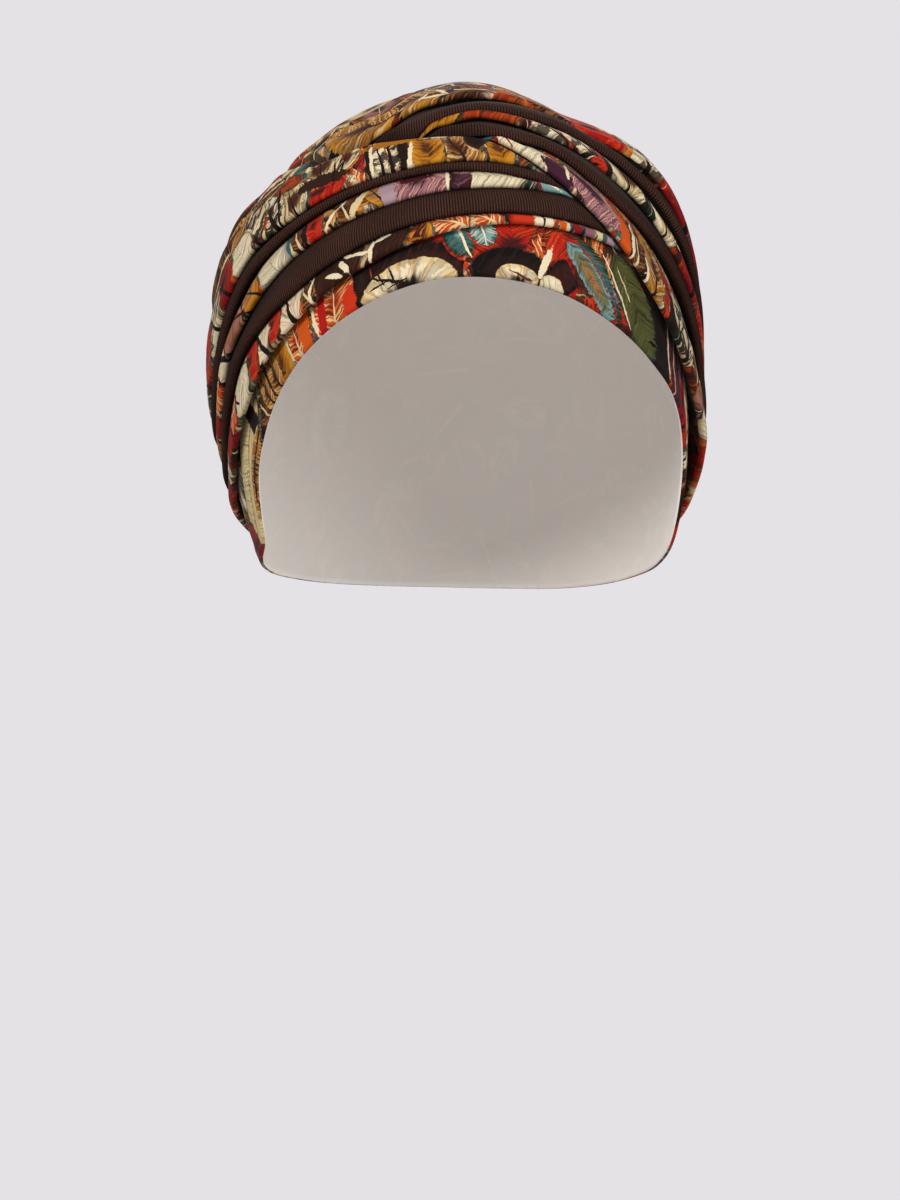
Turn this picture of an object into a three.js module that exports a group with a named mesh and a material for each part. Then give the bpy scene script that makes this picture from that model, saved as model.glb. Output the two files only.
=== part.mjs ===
import * as THREE from "three";

// A pull-on turban headwrap, worn: a close cap in printed jersey, with one long scarf wound
// round it. The scarf is laid in five pleats side by side. Three are printed cloth, and two are
// facings of plain ribbed jersey. The winding starts at the front, under its own last turn, runs
// round the wearer's right side and low across the nape, climbs the left side, crosses over its
// own start above the forehead and is tucked in on top.
// Millimetres, +Z up. The wearer looks along -Y, and the wearer's right is -X.
// The origin is the inside of the crown, where the top of the head bears.

// The head that the cap is stretched over: an egg, a little wider behind than in front.
const HEAD = {
  halfWidth: 82,
  halfLength: 96,
  crownHeight: 97, // from the widest level up to the crown
  napeDepth: 120, // from the widest level down to where the egg would close
  widerBehind: 0.06, // share of half width gained at the back, and lost at the front
  planPower: 2.2, // 2 is an ellipse, and more is squarer
  crownPower: 2,
  napePower: 2.35,
  lean: 0.045, // drift to the wearer's left, per millimetre below the widest level
};
const RIM_TILT = 31; // degrees that the rim rises from nape to forehead
const CAP_WALL = 1.6;
const PLEAT_WALL = 2.2;
const PLEAT_CLEARANCE = 0.6; // between the cap and a pleat laid on it
const LEAST_STAND = 1.7; // a pleat's outside over the cap, where it is thinnest
const PLEAT_GAP = 0.4; // degrees between two pleats side by side
const LEAST_WIDTH = 0.7; // degrees: a pleat that tapers below this has ended
const STEP = 7.5; // degrees between sections
const END_STEPS = [0, 1.5, 4]; // degrees from a pleat's end to its nearest sections
const SEEK = 0.25; // degrees between the places tried for a pleat's end
const CAP_RINGS = 10;

const PRINT = { color: 0x8a4a2c, roughness: 0.72, metalness: 0 };
const RIB = { color: 0x33211c, roughness: 0.88, metalness: 0 };

// The cap's rim, in degrees above the tilted rim plane. round is in degrees from the middle of
// the forehead towards the wearer's left.
const RIM = [
  { round: -180, rim: -13.2 },
  { round: -165, rim: -14.5 },
  { round: -150, rim: -18.8 },
  { round: -135, rim: -26 },
  { round: -120, rim: -34 },
  { round: -107, rim: -38.6 },
  { round: -97, rim: -36 },
  { round: -88, rim: -32.2 },
  { round: -76, rim: -28.6 },
  { round: -60, rim: -23.6 },
  { round: -45, rim: -19.6 },
  { round: -30, rim: -16.4 },
  { round: -14, rim: -14.3 },
  { round: 0, rim: -14.6 },
  { round: 14, rim: -16.6 },
  { round: 30, rim: -20.2 },
  { round: 45, rim: -23 },
  { round: 60, rim: -24.6 },
  { round: 72, rim: -27.2 },
  { round: 84, rim: -31.6 },
  { round: 97, rim: -37 },
  { round: 107, rim: -37 },
  { round: 120, rim: -32.5 },
  { round: 135, rim: -25 },
  { round: 150, rim: -18.6 },
  { round: 165, rim: -14.4 },
  { round: 180, rim: -13.2 },
];

// The winding, a row for each section. wound is in degrees from the middle of the forehead
// towards the wearer's right. The next six are the fold lines, in degrees above the rim plane:
// the lower edges of the five pleats and the upper edge of the last. The others are how far the
// cloth stands off the cap, in millimetres: at the lowest fold, at the highest fold, and half
// way up the highest pleat.
const WINDING = table(
  ["wound", "low", "ribWide", "mid", "ribSlim", "high", "end", "lift", "crest", "shoulder"],
  [
    [-37.5, -3, 0, 6, 6, 9, 21, 2.8, 2.8, 2.4],
    [-20, -3, -0.5, 6, 6.6, 10, 21, 3, 3, 2.6],
    [0, -3.4, -0.7, 5.7, 10, 13, 21, 3.4, 3.8, 3.4],
    [20, -7, -2.6, 4.2, 10, 12.2, 23.5, 3.6, 4.2, 3.8],
    [45, -13, -6.8, 1.7, 8.6, 12.4, 31.5, 4.2, 5, 4.2],
    [60, -16.8, -8.6, -1.6, 7, 13, 40, 4.6, 6, 5.6],
    [75, -20.6, -10.8, -5, 1.6, 8, 47, 4.8, 6.8, 9.4],
    [90, -22.5, -14.8, -9.2, -4.4, 1, 52, 4.4, 6.6, 7],
    [100, -23, -16.5, -11, -6, -0.5, 54, 3.8, 6.4, 5.6],
    [110, -22, -16, -10.6, -5.6, 0, 55, 3.6, 6, 5],
    [120, -18.8, -12.8, -7.4, -2.4, 3.2, 56, 3.8, 5.6, 4.6],
    [130, -15.6, -9.4, -4, 1.2, 6.8, 56, 4.2, 5.4, 4.4],
    [150, -11, -4.6, 1.2, 6.4, 11.6, 56, 4.6, 5.2, 4.2],
    [180, -8, -1.5, 4.5, 10, 15, 56, 4.8, 5, 4],
    [210, -14, -7.5, -1.5, 4, 9.5, 56, 4.8, 5, 4],
    [230, -19, -12.5, -6.5, -0.5, 5.5, 56.5, 5.2, 5.4, 4.2],
    [250, -22.6, -15.5, -8.6, -2.5, 3.6, 57, 6, 6, 4.6],
    [270, -21.8, -13.5, -7.4, -1.5, 4.5, 57.5, 7, 6.4, 5.4],
    [285, -20.2, -10.2, -4.6, 1, 7.4, 58, 5.4, 7.4, 6.6],
    [300, -17.8, -6, -0.5, 5, 12, 59, 5, 10, 7.6],
    [307.5, -15.6, -3, 2.6, 9.6, 18, 59.5, 4.9, 12, 7.4],
    [315, -12.6, 0.8, 8, 16, 24.5, 60, 4.8, 11.6, 6.4],
    [322.5, -8.6, 5, 14.2, 24, 31.5, 60.5, 4.6, 7.6, 5],
    [330, -3.2, 8.4, 18.2, 28.6, 36, 61, 4.4, 4, 4.2],
    [337.5, 2.6, 12.8, 21.3, 29.3, 37.6, 61.5, 4.4, 4.2, 4.6],
    [345, 9, 17.6, 23.5, 29.4, 38.3, 62, 4.4, 5, 5],
    [352.5, 15.2, 19.3, 25.8, 29.8, 38.4, 62.5, 4.7, 5.8, 5.4],
    [360, 20.2, 20.7, 27.3, 29.3, 37.6, 62.5, 5, 6.2, 5.6],
    [367.5, 21.6, 21.6, 24.8, 27, 35.6, 62, 4.8, 5.8, 5.2],
    [375, 22, 22, 22, 22.4, 33, 60.5, 4.6, 5.4, 4.8],
    [382.5, 23.6, 23.6, 23.6, 23.6, 26, 58.5, 4.4, 5, 4.4],
    [400, 26, 26, 26, 26, 26, 54, 4, 4.4, 3.8],
    [420, 36, 36, 36, 36, 36, 52, 4, 3.8, 3.2],
    [450, 50, 50, 50, 50, 50, 53, 4, 2.8, 2.4],
  ],
);

// A pleat's outside, from its folded lower edge to its tucked upper edge:
// the share of the way across, and the share of its lift that it stands up.
const PLEAT_FORM = [
  { across: 0, stands: 0.5 },
  { across: 0.14, stands: 1 },
  { across: 0.42, stands: 1 },
  { across: 0.74, stands: 0.8 },
  { across: 1, stands: 0.5 },
];
// The highest pleat is wide: its shares of the crest and of the shoulder. It lies down flush with
// the cap towards the crown.
const CROWN_FORM = [
  { across: 0, stands: 0.5, shoulder: 0 },
  { across: 0.07, stands: 1, shoulder: 0 },
  { across: 0.22, stands: 0.8, shoulder: 0.2 },
  { across: 0.4, stands: 0.3, shoulder: 0.7 },
  { across: 0.6, stands: 0, shoulder: 1 },
  { across: 0.8, stands: 0, shoulder: 0.55 },
  { across: 1, stands: 0.1, shoulder: 0 },
];

// toCrest is how far a pleat's lift is from the lowest fold's towards the highest fold's.
const PLEATS = [
  { name: "print_pleat_low", from: "low", to: "ribWide", toCrest: 0, form: PLEAT_FORM, look: PRINT },
  { name: "rib_pleat_wide", from: "ribWide", to: "mid", toCrest: 0.15, form: PLEAT_FORM, look: RIB },
  { name: "print_pleat_mid", from: "mid", to: "ribSlim", toCrest: 0.35, form: PLEAT_FORM, look: PRINT },
  { name: "rib_pleat_slim", from: "ribSlim", to: "high", toCrest: 0.65, form: PLEAT_FORM, look: RIB },
  { name: "print_pleat_high", from: "high", to: "end", toCrest: 1, form: CROWN_FORM, look: PRINT },
];

const rad = THREE.MathUtils.degToRad;
const headCentre = new THREE.Vector3(0, 0, -HEAD.crownHeight);
const rimForward = new THREE.Vector3(0, -Math.cos(rad(RIM_TILT)), Math.sin(rad(RIM_TILT)));
const rimNormal = new THREE.Vector3(0, Math.sin(rad(RIM_TILT)), Math.cos(rad(RIM_TILT)));

// Smooth value of one column of a table at a place, through its rows, and level at its ends.
function columnAt(table, place, column, at) {
  const last = table.length - 1;
  let i = 0;
  while (i < last - 1 && at > table[i + 1][place]) i++;
  const slope = (k) => {
    if (k === 0 || k === last) return 0;
    const rise = table[k + 1][column] - table[k - 1][column];
    return rise / (table[k + 1][place] - table[k - 1][place]);
  };
  const span = table[i + 1][place] - table[i][place];
  const t = THREE.MathUtils.clamp((at - table[i][place]) / span, 0, 1);
  const rise = table[i + 1][column] - table[i][column];
  return (
    table[i][column] +
    rise * t * t * (3 - 2 * t) +
    span * t * (1 - t) * ((1 - t) * slope(i) - t * slope(i + 1))
  );
}

// Distance from the head's centre to its surface, along a unit direction.
function headRadius(direction) {
  const power = direction.z > 0 ? HEAD.crownPower : HEAD.napePower;
  const depth = direction.z > 0 ? HEAD.crownHeight : HEAD.napeDepth;
  const sideways = direction.x + HEAD.lean * Math.min(direction.z, 0);
  let radius = HEAD.halfLength;
  for (let pass = 0; pass < 4; pass++) {
    const behind = THREE.MathUtils.clamp((direction.y * radius) / HEAD.halfLength, -1, 1);
    const halfWidth = HEAD.halfWidth * (1 + HEAD.widerBehind * behind);
    const plan = Math.hypot(
      Math.pow(Math.abs(sideways) / halfWidth, HEAD.planPower / 2),
      Math.pow(Math.abs(direction.y) / HEAD.halfLength, HEAD.planPower / 2),
    );
    const across = Math.pow(plan, 2 / HEAD.planPower);
    const form = Math.pow(across, power) + Math.pow(Math.abs(direction.z) / depth, power);
    radius = Math.pow(form, -1 / power);
  }
  return radius;
}

// The point at an angle round from the forehead towards the wearer's left, an angle above
// the rim plane, and a height over the head.
function overHead(round, above, height) {
  const direction = new THREE.Vector3()
    .addScaledVector(rimForward, Math.cos(rad(above)) * Math.cos(rad(round)))
    .add(new THREE.Vector3(Math.cos(rad(above)) * Math.sin(rad(round)), 0, 0))
    .addScaledVector(rimNormal, Math.sin(rad(above)));
  return headCentre.clone().addScaledVector(direction, headRadius(direction) + height);
}

// A closed body through rings of points, each end closed by a fan to its ring's middle.
function skin(rings) {
  const size = rings[0].length;
  const points = rings.flat();
  const faces = [];
  for (let r = 0; r < rings.length - 1; r++) {
    const here = r * size;
    const next = here + size;
    for (let p = 0; p < size; p++) {
      const q = (p + 1) % size;
      faces.push(here + p, here + q, next + q, here + p, next + q, next + p);
    }
  }
  [0, rings.length - 1].forEach((r) => {
    const middle = points.length;
    const sum = rings[r].reduce((s, p) => s.add(p), new THREE.Vector3());
    points.push(sum.divideScalar(size));
    for (let p = 0; p < size; p++) {
      const a = r * size + p;
      const b = r * size + ((p + 1) % size);
      faces.push(...(r ? [a, b, middle] : [b, a, middle]));
    }
  });
  const geometry = new THREE.BufferGeometry();
  geometry.setFromPoints(points);
  geometry.setIndex(faces);
  geometry.computeVertexNormals();
  return geometry;
}

function table(columns, rows) {
  return rows.map((row) => Object.fromEntries(columns.map((name, i) => [name, row[i]])));
}

function mesh(name, geometry, look) {
  const made = new THREE.Mesh(geometry, new THREE.MeshStandardMaterial(look));
  made.name = name;
  return made;
}

// The cap: one wall from the rim to the crown, in rings round the rim's axis, with each pole a
// small flat, so that the inside and outside are the two sheets of one closed body.
function capGeometry() {
  const outside = [];
  const inside = [];
  const poleStop = 88.5;
  for (let ring = 0; ring <= CAP_RINGS; ring++) {
    const share = ring / CAP_RINGS;
    const outer = [];
    const inner = [];
    for (let round = 0; round < 360; round += STEP) {
      const rim = columnAt(RIM, "round", "rim", round > 180 ? round - 360 : round);
      const above = rim + (poleStop - rim) * share;
      outer.push(overHead(round, above, CAP_WALL));
      inner.push(overHead(round, above, 0));
    }
    outside.push(outer);
    inside.push(inner);
  }
  return skin([...inside.reverse(), ...outside]);
}

// The fold line of a pleat at a section. The last turn lies over the start of the
// winding, and the start's upper edge lies over the tucked end.
function foldLine(wound, fold) {
  const own = columnAt(WINDING, "wound", fold, wound);
  if (wound < 0) return Math.min(own, columnAt(WINDING, "wound", "low", wound + 360) - PLEAT_GAP);
  if (wound > 360) return Math.max(own, columnAt(WINDING, "wound", "end", wound - 360) + PLEAT_GAP);
  return own;
}

// The places round the winding where a pleat has a section: close together towards its two ends.
function sections(pleat) {
  const wide = (at) => foldLine(at, pleat.to) - foldLine(at, pleat.from) > PLEAT_GAP + LEAST_WIDTH;
  let start = WINDING[0].wound;
  while (!wide(start)) start += SEEK;
  let finish = start;
  while (finish < WINDING[WINDING.length - 1].wound && wide(finish + SEEK)) finish += SEEK;
  const places = END_STEPS.map((step) => start + step);
  const first = Math.ceil((places[places.length - 1] + STEP / 2) / STEP) * STEP;
  const ending = END_STEPS.map((step) => finish - step).reverse();
  for (let at = first; at < ending[0] - STEP / 2; at += STEP) places.push(at);
  return [...places, ...ending];
}

function pleatGeometry(pleat) {
  const rings = sections(pleat).map((wound) => {
    const lower = foldLine(wound, pleat.from) + PLEAT_GAP / 2;
    const upper = foldLine(wound, pleat.to) - PLEAT_GAP / 2;
    const lift = columnAt(WINDING, "wound", "lift", wound);
    const crest = columnAt(WINDING, "wound", "crest", wound);
    const middle = columnAt(WINDING, "wound", "shoulder", wound);
    const stand = lift + (crest - lift) * pleat.toCrest;
    const outer = pleat.form.map(({ across, stands, shoulder = 0 }) => {
      const above = lower + (upper - lower) * across;
      const height = Math.max(stand * stands + middle * shoulder, LEAST_STAND);
      return { above, height };
    });
    const top = outer.map((p) => overHead(-wound, p.above, CAP_WALL + p.height));
    const under = outer.map((p) => {
      const height = Math.max(p.height - PLEAT_WALL, PLEAT_CLEARANCE);
      return overHead(-wound, p.above, CAP_WALL + height);
    });
    return [...top, ...under.reverse()];
  });
  return skin(rings);
}

const turban = new THREE.Group();
turban.name = "turban_headwrap";
turban.add(mesh("cap", capGeometry(), PRINT));
for (const pleat of PLEATS) {
  turban.add(mesh(pleat.name, pleatGeometry(pleat), pleat.look));
}

export default turban;
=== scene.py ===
import math
import bpy
import numpy as np
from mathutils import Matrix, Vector


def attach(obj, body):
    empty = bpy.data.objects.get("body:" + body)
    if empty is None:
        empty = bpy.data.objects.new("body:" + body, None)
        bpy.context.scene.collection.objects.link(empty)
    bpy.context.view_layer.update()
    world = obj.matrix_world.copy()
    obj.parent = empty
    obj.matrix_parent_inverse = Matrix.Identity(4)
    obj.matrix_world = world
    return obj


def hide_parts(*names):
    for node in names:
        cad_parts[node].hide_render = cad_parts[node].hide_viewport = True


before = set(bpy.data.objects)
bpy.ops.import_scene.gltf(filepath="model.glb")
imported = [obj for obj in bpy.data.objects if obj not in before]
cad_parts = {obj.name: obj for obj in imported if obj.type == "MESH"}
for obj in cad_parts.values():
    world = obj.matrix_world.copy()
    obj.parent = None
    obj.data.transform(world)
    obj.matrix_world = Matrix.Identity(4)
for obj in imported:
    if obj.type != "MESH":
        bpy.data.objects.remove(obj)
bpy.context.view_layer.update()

print("turban headwrap: frame loaded")

mm = 0.001

studio = {
    "aim": (0.0, 0.0, -0.097),    # middle of the head form
    "turn": -8.0,                 # degrees round from straight in front
    "distance": 1.6,
    "drop": 0.083,                # camera below the aim
    "aside": -0.0025,
    "lens": 132.0,
    "floorHeight": -0.62,
    "floorRadius": 7.0,
    "floorSides": 96,
    "floorColor": (0.62, 0.61, 0.63),
    "fadeFrom": 0.5,              # the floor fades into the backdrop between these
    "fadeTo": 1.5,
    "paper": (0.776, 0.760, 0.787),
    "softLight": 0.42,            # the backdrop as it lights the cloth
    "surround": 1.0,              # and as the camera sees it
}

lamps = {                         # place, size, power, tint
    "keyLamp": ((-0.9, -1.4, 0.9), 0.7, 27, (1.0, 0.985, 0.96)),
    "fillLamp": ((1.3, -1.1, 0.1), 1.2, 11, (0.99, 0.985, 0.98)),
    "backLamp": ((0.4, 1.6, 1.0), 1.0, 11, (1.0, 1.0, 1.0)),
}


def makeCamera(s):
    data = bpy.data.cameras.new("studioCamera")
    data.lens = s["lens"]
    data.sensor_width = 36.0
    data.clip_end = 50.0
    camera = bpy.data.objects.new("studioCamera", data)
    turn = math.radians(s["turn"])
    ahead = Vector((-math.sin(turn), math.cos(turn), 0))
    right = Vector((math.cos(turn), math.sin(turn), 0))
    camera.location = Vector(s["aim"]) - ahead * s["distance"] + right * s["aside"]
    camera.location.z -= s["drop"]
    camera.rotation_euler = (math.pi / 2, 0, turn)
    bpy.context.scene.collection.objects.link(camera)
    bpy.context.scene.camera = camera


def makeLamp(name, place, size, power, tint):
    data = bpy.data.lights.new(name, "AREA")
    data.shape = "DISK"
    data.size = size
    data.energy = power
    data.color = tint
    lamp = bpy.data.objects.new(name, data)
    lamp.location = place
    toward = Vector(studio["aim"]) - lamp.location
    lamp.rotation_euler = toward.to_track_quat("-Z", "Y").to_euler()
    bpy.context.scene.collection.objects.link(lamp)


# small helpers for laying nodes

def addNode(tree, kind, **settings):
    node = tree.nodes.new(kind)
    for key, value in settings.items():
        setattr(node, key, value)
    return node


def feed(tree, socket, value):
    if isinstance(value, bpy.types.NodeSocket):
        tree.links.new(value, socket)
    elif value is not None:
        socket.default_value = value


def doMath(tree, operation, a, b=None, c=None):
    node = addNode(tree, "ShaderNodeMath", operation=operation)
    for socket, value in zip(node.inputs, (a, b, c)):
        feed(tree, socket, value)
    return node.outputs[0]


def doVector(tree, operation, a, b=None, scale=None):
    node = addNode(tree, "ShaderNodeVectorMath", operation=operation)
    feed(tree, node.inputs[0], a)
    feed(tree, node.inputs[1], b)
    if scale is not None:
        feed(tree, node.inputs["Scale"], scale)
    return node.outputs["Value" if operation in ("LENGTH", "DOT_PRODUCT") else "Vector"]


def part(tree, vector, axis):
    # one coordinate of a vector
    return doVector(tree, "DOT_PRODUCT", vector, axis)


def combine(tree, x, y, z=0.0):
    node = addNode(tree, "ShaderNodeCombineXYZ")
    for socket, value in zip(node.inputs, (x, y, z)):
        feed(tree, socket, value)
    return node.outputs[0]


def ease(tree, value, low, high):
    node = addNode(tree, "ShaderNodeMapRange", interpolation_type="SMOOTHSTEP")
    for socket, each in zip(node.inputs, (value, low, high)):
        feed(tree, socket, each)
    return node.outputs[0]


def blendColor(tree, share, a, b, blend="MIX"):
    node = addNode(tree, "ShaderNodeMix", data_type="RGBA", blend_type=blend)
    feed(tree, node.inputs[0], share)
    feed(tree, node.inputs[6], a)
    feed(tree, node.inputs[7], b)
    return node.outputs[2]


def mixValue(tree, share, a, b):
    node = addNode(tree, "ShaderNodeMix", data_type="FLOAT")
    feed(tree, node.inputs[0], share)
    feed(tree, node.inputs[2], a)
    feed(tree, node.inputs[3], b)
    return node.outputs[0]


def mixVector(tree, share, a, b):
    node = addNode(tree, "ShaderNodeMix", data_type="VECTOR")
    feed(tree, node.inputs[0], share)
    feed(tree, node.inputs[4], a)
    feed(tree, node.inputs[5], b)
    return node.outputs[1]


def noise(tree, vector, scale, detail, roughness):
    node = addNode(tree, "ShaderNodeTexNoise", noise_dimensions="2D")
    feed(tree, node.inputs["Vector"], vector)
    node.inputs["Scale"].default_value = scale
    node.inputs["Detail"].default_value = detail
    node.inputs["Roughness"].default_value = roughness
    return node.outputs[0]


def streaks(tree, at, detail, roughness):
    # noise along one line only
    node = addNode(tree, "ShaderNodeTexNoise", noise_dimensions="1D")
    feed(tree, node.inputs["W"], at)
    node.inputs["Scale"].default_value = 1.0
    node.inputs["Detail"].default_value = detail
    node.inputs["Roughness"].default_value = roughness
    return node.outputs[0]


def newGroup(name, inputs, outputs, kind="ShaderNodeTree"):
    group = bpy.data.node_groups.new(name, kind)
    for label, socketType, default in inputs:
        socket = group.interface.new_socket(label, in_out="INPUT", socket_type=socketType)
        if default is not None:
            socket.default_value = default
    for label, socketType in outputs:
        group.interface.new_socket(label, in_out="OUTPUT", socket_type=socketType)
    enter = group.nodes.new("NodeGroupInput").outputs
    return group, enter


def useGroup(tree, group, **values):
    node = tree.nodes.new("ShaderNodeGroup")
    node.node_tree = group
    for label, value in values.items():
        feed(tree, node.inputs[label], value)
    return node.outputs


colors = {                        # dyes as they look
    "black": (20, 15, 15), "soot": (36, 25, 23), "darkBrown": (56, 33, 25), "brown": (96, 56, 32),
    "tan": (166, 120, 76), "gold": (200, 138, 46), "mustard": (170, 108, 28), "orange": (208, 92, 32),
    "rust": (158, 58, 26), "vermilion": (200, 58, 32), "red": (178, 32, 28), "crimson": (138, 26, 36),
    "maroon": (80, 26, 32), "plum": (70, 38, 56), "mauve": (146, 100, 114), "lilac": (172, 148, 162),
    "rose": (184, 128, 116), "pink": (226, 178, 158), "teal": (52, 100, 106), "paleTeal": (124, 162, 168),
    "olive": (84, 88, 46), "green": (34, 52, 42), "sage": (118, 120, 90), "cream": (222, 204, 162),
    "ivory": (236, 225, 197), "grey": (158, 150, 138), "straw": (240, 225, 172),
    "pinkBrown": (158, 110, 92),
}

ink = {
    "contrast": 2.3,
    "strength": (0.92, 0.87, 0.79),
    "line": (0.012, 0.006, 0.004, 1),     # the dark between barbs and round a feather
}


def dye(name):
    shares = zip(colors[name], ink["strength"])
    return tuple(dim * (c / 255) ** ink["contrast"] for c, dim in shares) + (1.0,)


# one printed feather: x runs along it and y across it, in millimetres from its middle
featherInputs = (
    ("Ground", "NodeSocketColor", (0, 0, 0, 1)),
    *((label, "NodeSocketFloat", start) for label, start in (
        ("X", 0.0), ("Y", 0.0), ("Half length", 10.0), ("Half width", 5.0), ("Wander", 0.5),
        ("Fan", 0.0), ("Fine", 0.8), ("Ragged", 0.2), ("Barbs", 0.5), ("Marks", 0.0), ("Pitch", 5.0),
        ("Core", 0.3), ("Split", 0.8), ("Quill", 0.3))),
    *((zone + " color", "NodeSocketColor", (0, 0, 0, 1)) for zone in (
        "Core", "Body", "Edge", "Barb", "Mark", "Quill")),
)

feather = {
    "slant": 0.8,                # how far barbs lean toward the tip
    "vaneShift": 40.0,           # keeps the two vanes from mirroring each other
    "waver": 1.2,                # how far the barbs wander
    "run": 0.05,                 # how soon a streak changes on its way out
    "fringe": 1.1,               # how far one zone's barbs reach into the next
    "streaks": (2.0, 0.6),       # detail and roughness, as for fine barbs below
    "coreEdge": (-0.16, 0.14),
    "bodyEdge": (-0.1, 0.1),
    "gaps": (-2.6, 1.5),         # dark gaps between barbs: how sharp and how many
    "gapsEnd": 0.25,             # they thin out toward the outline
    "gapsSoft": 0.6,
    "gapsShare": 0.62,
    "barbFine": 1.9,
    "barbRun": 0.11,
    "barbs": (1.0, 0.5),
    "barbEdge": (0.53, 0.6),
    "barbFrom": (0.1, 0.5),      # no fine barbs in the middle
    "markSlant": 0.5,
    "markWander": 7.0,
    "markFringe": 4.0,
    "markEdge": (0.25, 0.45),
    "quillTaper": (-0.45, 0.6),
    "quillEdge": (1.3, 0.9),
    "ragged": 1.6,
    "outline": (1.13, 1.01),
    "outlineShare": 0.7,
    "cover": (1.02, 0.98),
}


def makeFeatherGroup():
    g, enter = newGroup("printedFeather", featherInputs, (("Color", "NodeSocketColor"),))
    f = feather
    x, y, half = enter["X"], enter["Y"], enter["Half length"]
    s = doMath(g, "DIVIDE", x, half)
    side = doMath(g, "ABSOLUTE", y)
    t = doMath(g, "DIVIDE", y, enter["Half width"])
    rho = doMath(g, "SQRT", doMath(g, "MULTIPLY_ADD", t, t, doMath(g, "MULTIPLY", s, s)))
    fromBase = doMath(g, "ADD", x, half)
    fanned = doMath(g, "MULTIPLY", doMath(g, "ARCTAN2", y, fromBase), half)
    reach = doMath(g, "MULTIPLY_ADD", y, y, doMath(g, "MULTIPLY", fromBase, fromBase))
    reach = doMath(g, "SQRT", reach)
    plumed = doMath(g, "MULTIPLY_ADD", side, -f["slant"], x)
    plumed = doMath(g, "MULTIPLY_ADD", doMath(g, "SIGN", y), f["vaneShift"], plumed)
    strand = mixValue(g, enter["Fan"], plumed, fanned)
    outward = mixValue(g, enter["Fan"], side, reach)
    b = doMath(g, "MULTIPLY", strand, enter["Fine"])
    waver = doMath(g, "MULTIPLY_ADD", enter["Wander"], f["waver"], b)
    streak = streaks(g, doMath(g, "MULTIPLY_ADD", outward, f["run"], waver), *f["streaks"])
    fringe = doMath(g, "SUBTRACT", streak, 0.5)
    zone = doMath(g, "MULTIPLY", enter["Barbs"], f["fringe"])
    zone = doMath(g, "MULTIPLY_ADD", fringe, zone, rho)
    core = ease(g, doMath(g, "SUBTRACT", zone, enter["Core"]), *f["coreEdge"])
    color = blendColor(g, core, enter["Core color"], enter["Body color"])
    split = ease(g, doMath(g, "SUBTRACT", zone, enter["Split"]), *f["bodyEdge"])
    color = blendColor(g, split, color, enter["Edge color"])
    gaps = doMath(g, "MULTIPLY_ADD", streak, *f["gaps"])
    gaps = doMath(g, "SUBTRACT", gaps, doMath(g, "MULTIPLY", rho, f["gapsEnd"]))
    gaps = doMath(g, "MULTIPLY", ease(g, gaps, 0.0, f["gapsSoft"]), f["gapsShare"])
    color = blendColor(g, gaps, color, ink["line"])
    fine = doMath(g, "MULTIPLY_ADD", waver, f["barbFine"], doMath(g, "MULTIPLY", outward, f["barbRun"]))
    strokes = ease(g, streaks(g, fine, *f["barbs"]), *f["barbEdge"])
    strokes = doMath(g, "MULTIPLY", strokes, enter["Barbs"])
    strokes = doMath(g, "MULTIPLY", strokes, ease(g, rho, *f["barbFrom"]))
    color = blendColor(g, strokes, color, enter["Barb color"])
    wave = doMath(g, "MULTIPLY_ADD", side, -f["markSlant"], x)
    wave = doMath(g, "MULTIPLY_ADD", enter["Wander"], f["markWander"], wave)
    wave = doMath(g, "MULTIPLY", doMath(g, "DIVIDE", wave, enter["Pitch"]), 2 * math.pi)
    bars = doMath(g, "MULTIPLY_ADD", fringe, f["markFringe"], doMath(g, "SINE", wave))
    bars = doMath(g, "MULTIPLY", ease(g, bars, *f["markEdge"]), enter["Marks"])
    color = blendColor(g, bars, color, enter["Mark color"])
    taper = doMath(g, "MULTIPLY", doMath(g, "MULTIPLY_ADD", s, *f["quillTaper"]), enter["Quill"])
    quill = doMath(g, "DIVIDE", side, doMath(g, "MAXIMUM", taper, 0.001))
    color = blendColor(g, ease(g, quill, *f["quillEdge"]), color, enter["Quill color"])
    edge = doMath(g, "MULTIPLY_ADD", fringe, doMath(g, "MULTIPLY", enter["Ragged"], f["ragged"]), rho)
    outline = doMath(g, "MULTIPLY", ease(g, edge, *f["outline"]), f["outlineShare"])
    cover = ease(g, edge, *f["cover"])
    ground = blendColor(g, outline, enter["Ground"], ink["line"])
    color = blendColor(g, cover, ground, color)
    leave = addNode(g, "NodeGroupOutput")
    feed(g, leave.inputs[0], color)
    return g


strokeEdge = (1.05, 0.85)         # where a stroke fades out, as a share of its half size


def makeStrokeGroup():
    # a plain stroke or patch of dye: an ellipse with a rough edge, bent along its length
    inputs = (
        ("Ground", "NodeSocketColor", (0, 0, 0, 1)), ("Place", "NodeSocketVector", (0, 0, 0)),
        ("Rough", "NodeSocketFloat", 0.0), ("Middle", "NodeSocketVector", (0, 0, 0)),
        ("Along", "NodeSocketVector", (1, 0, 0)), ("Across", "NodeSocketVector", (0, 1, 0)),
        ("Bend", "NodeSocketFloat", 0.0), ("Color", "NodeSocketColor", (1, 1, 1, 1)),
    )
    g, enter = newGroup("dyeStroke", inputs, (("Color", "NodeSocketColor"),))
    away = doVector(g, "SUBTRACT", enter["Place"], enter["Middle"])
    x = part(g, away, enter["Along"])
    t = part(g, away, enter["Across"])
    along = doMath(g, "MULTIPLY", x, x)
    t = doMath(g, "SUBTRACT", t, doMath(g, "MULTIPLY", along, enter["Bend"]))
    rho = doMath(g, "ADD", doMath(g, "MULTIPLY_ADD", t, t, along), enter["Rough"])
    cover = ease(g, rho, *strokeEdge)
    out = blendColor(g, cover, enter["Ground"], enter["Color"])
    leave = addNode(g, "NodeGroupOutput")
    feed(g, leave.inputs[0], out)
    return g


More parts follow.
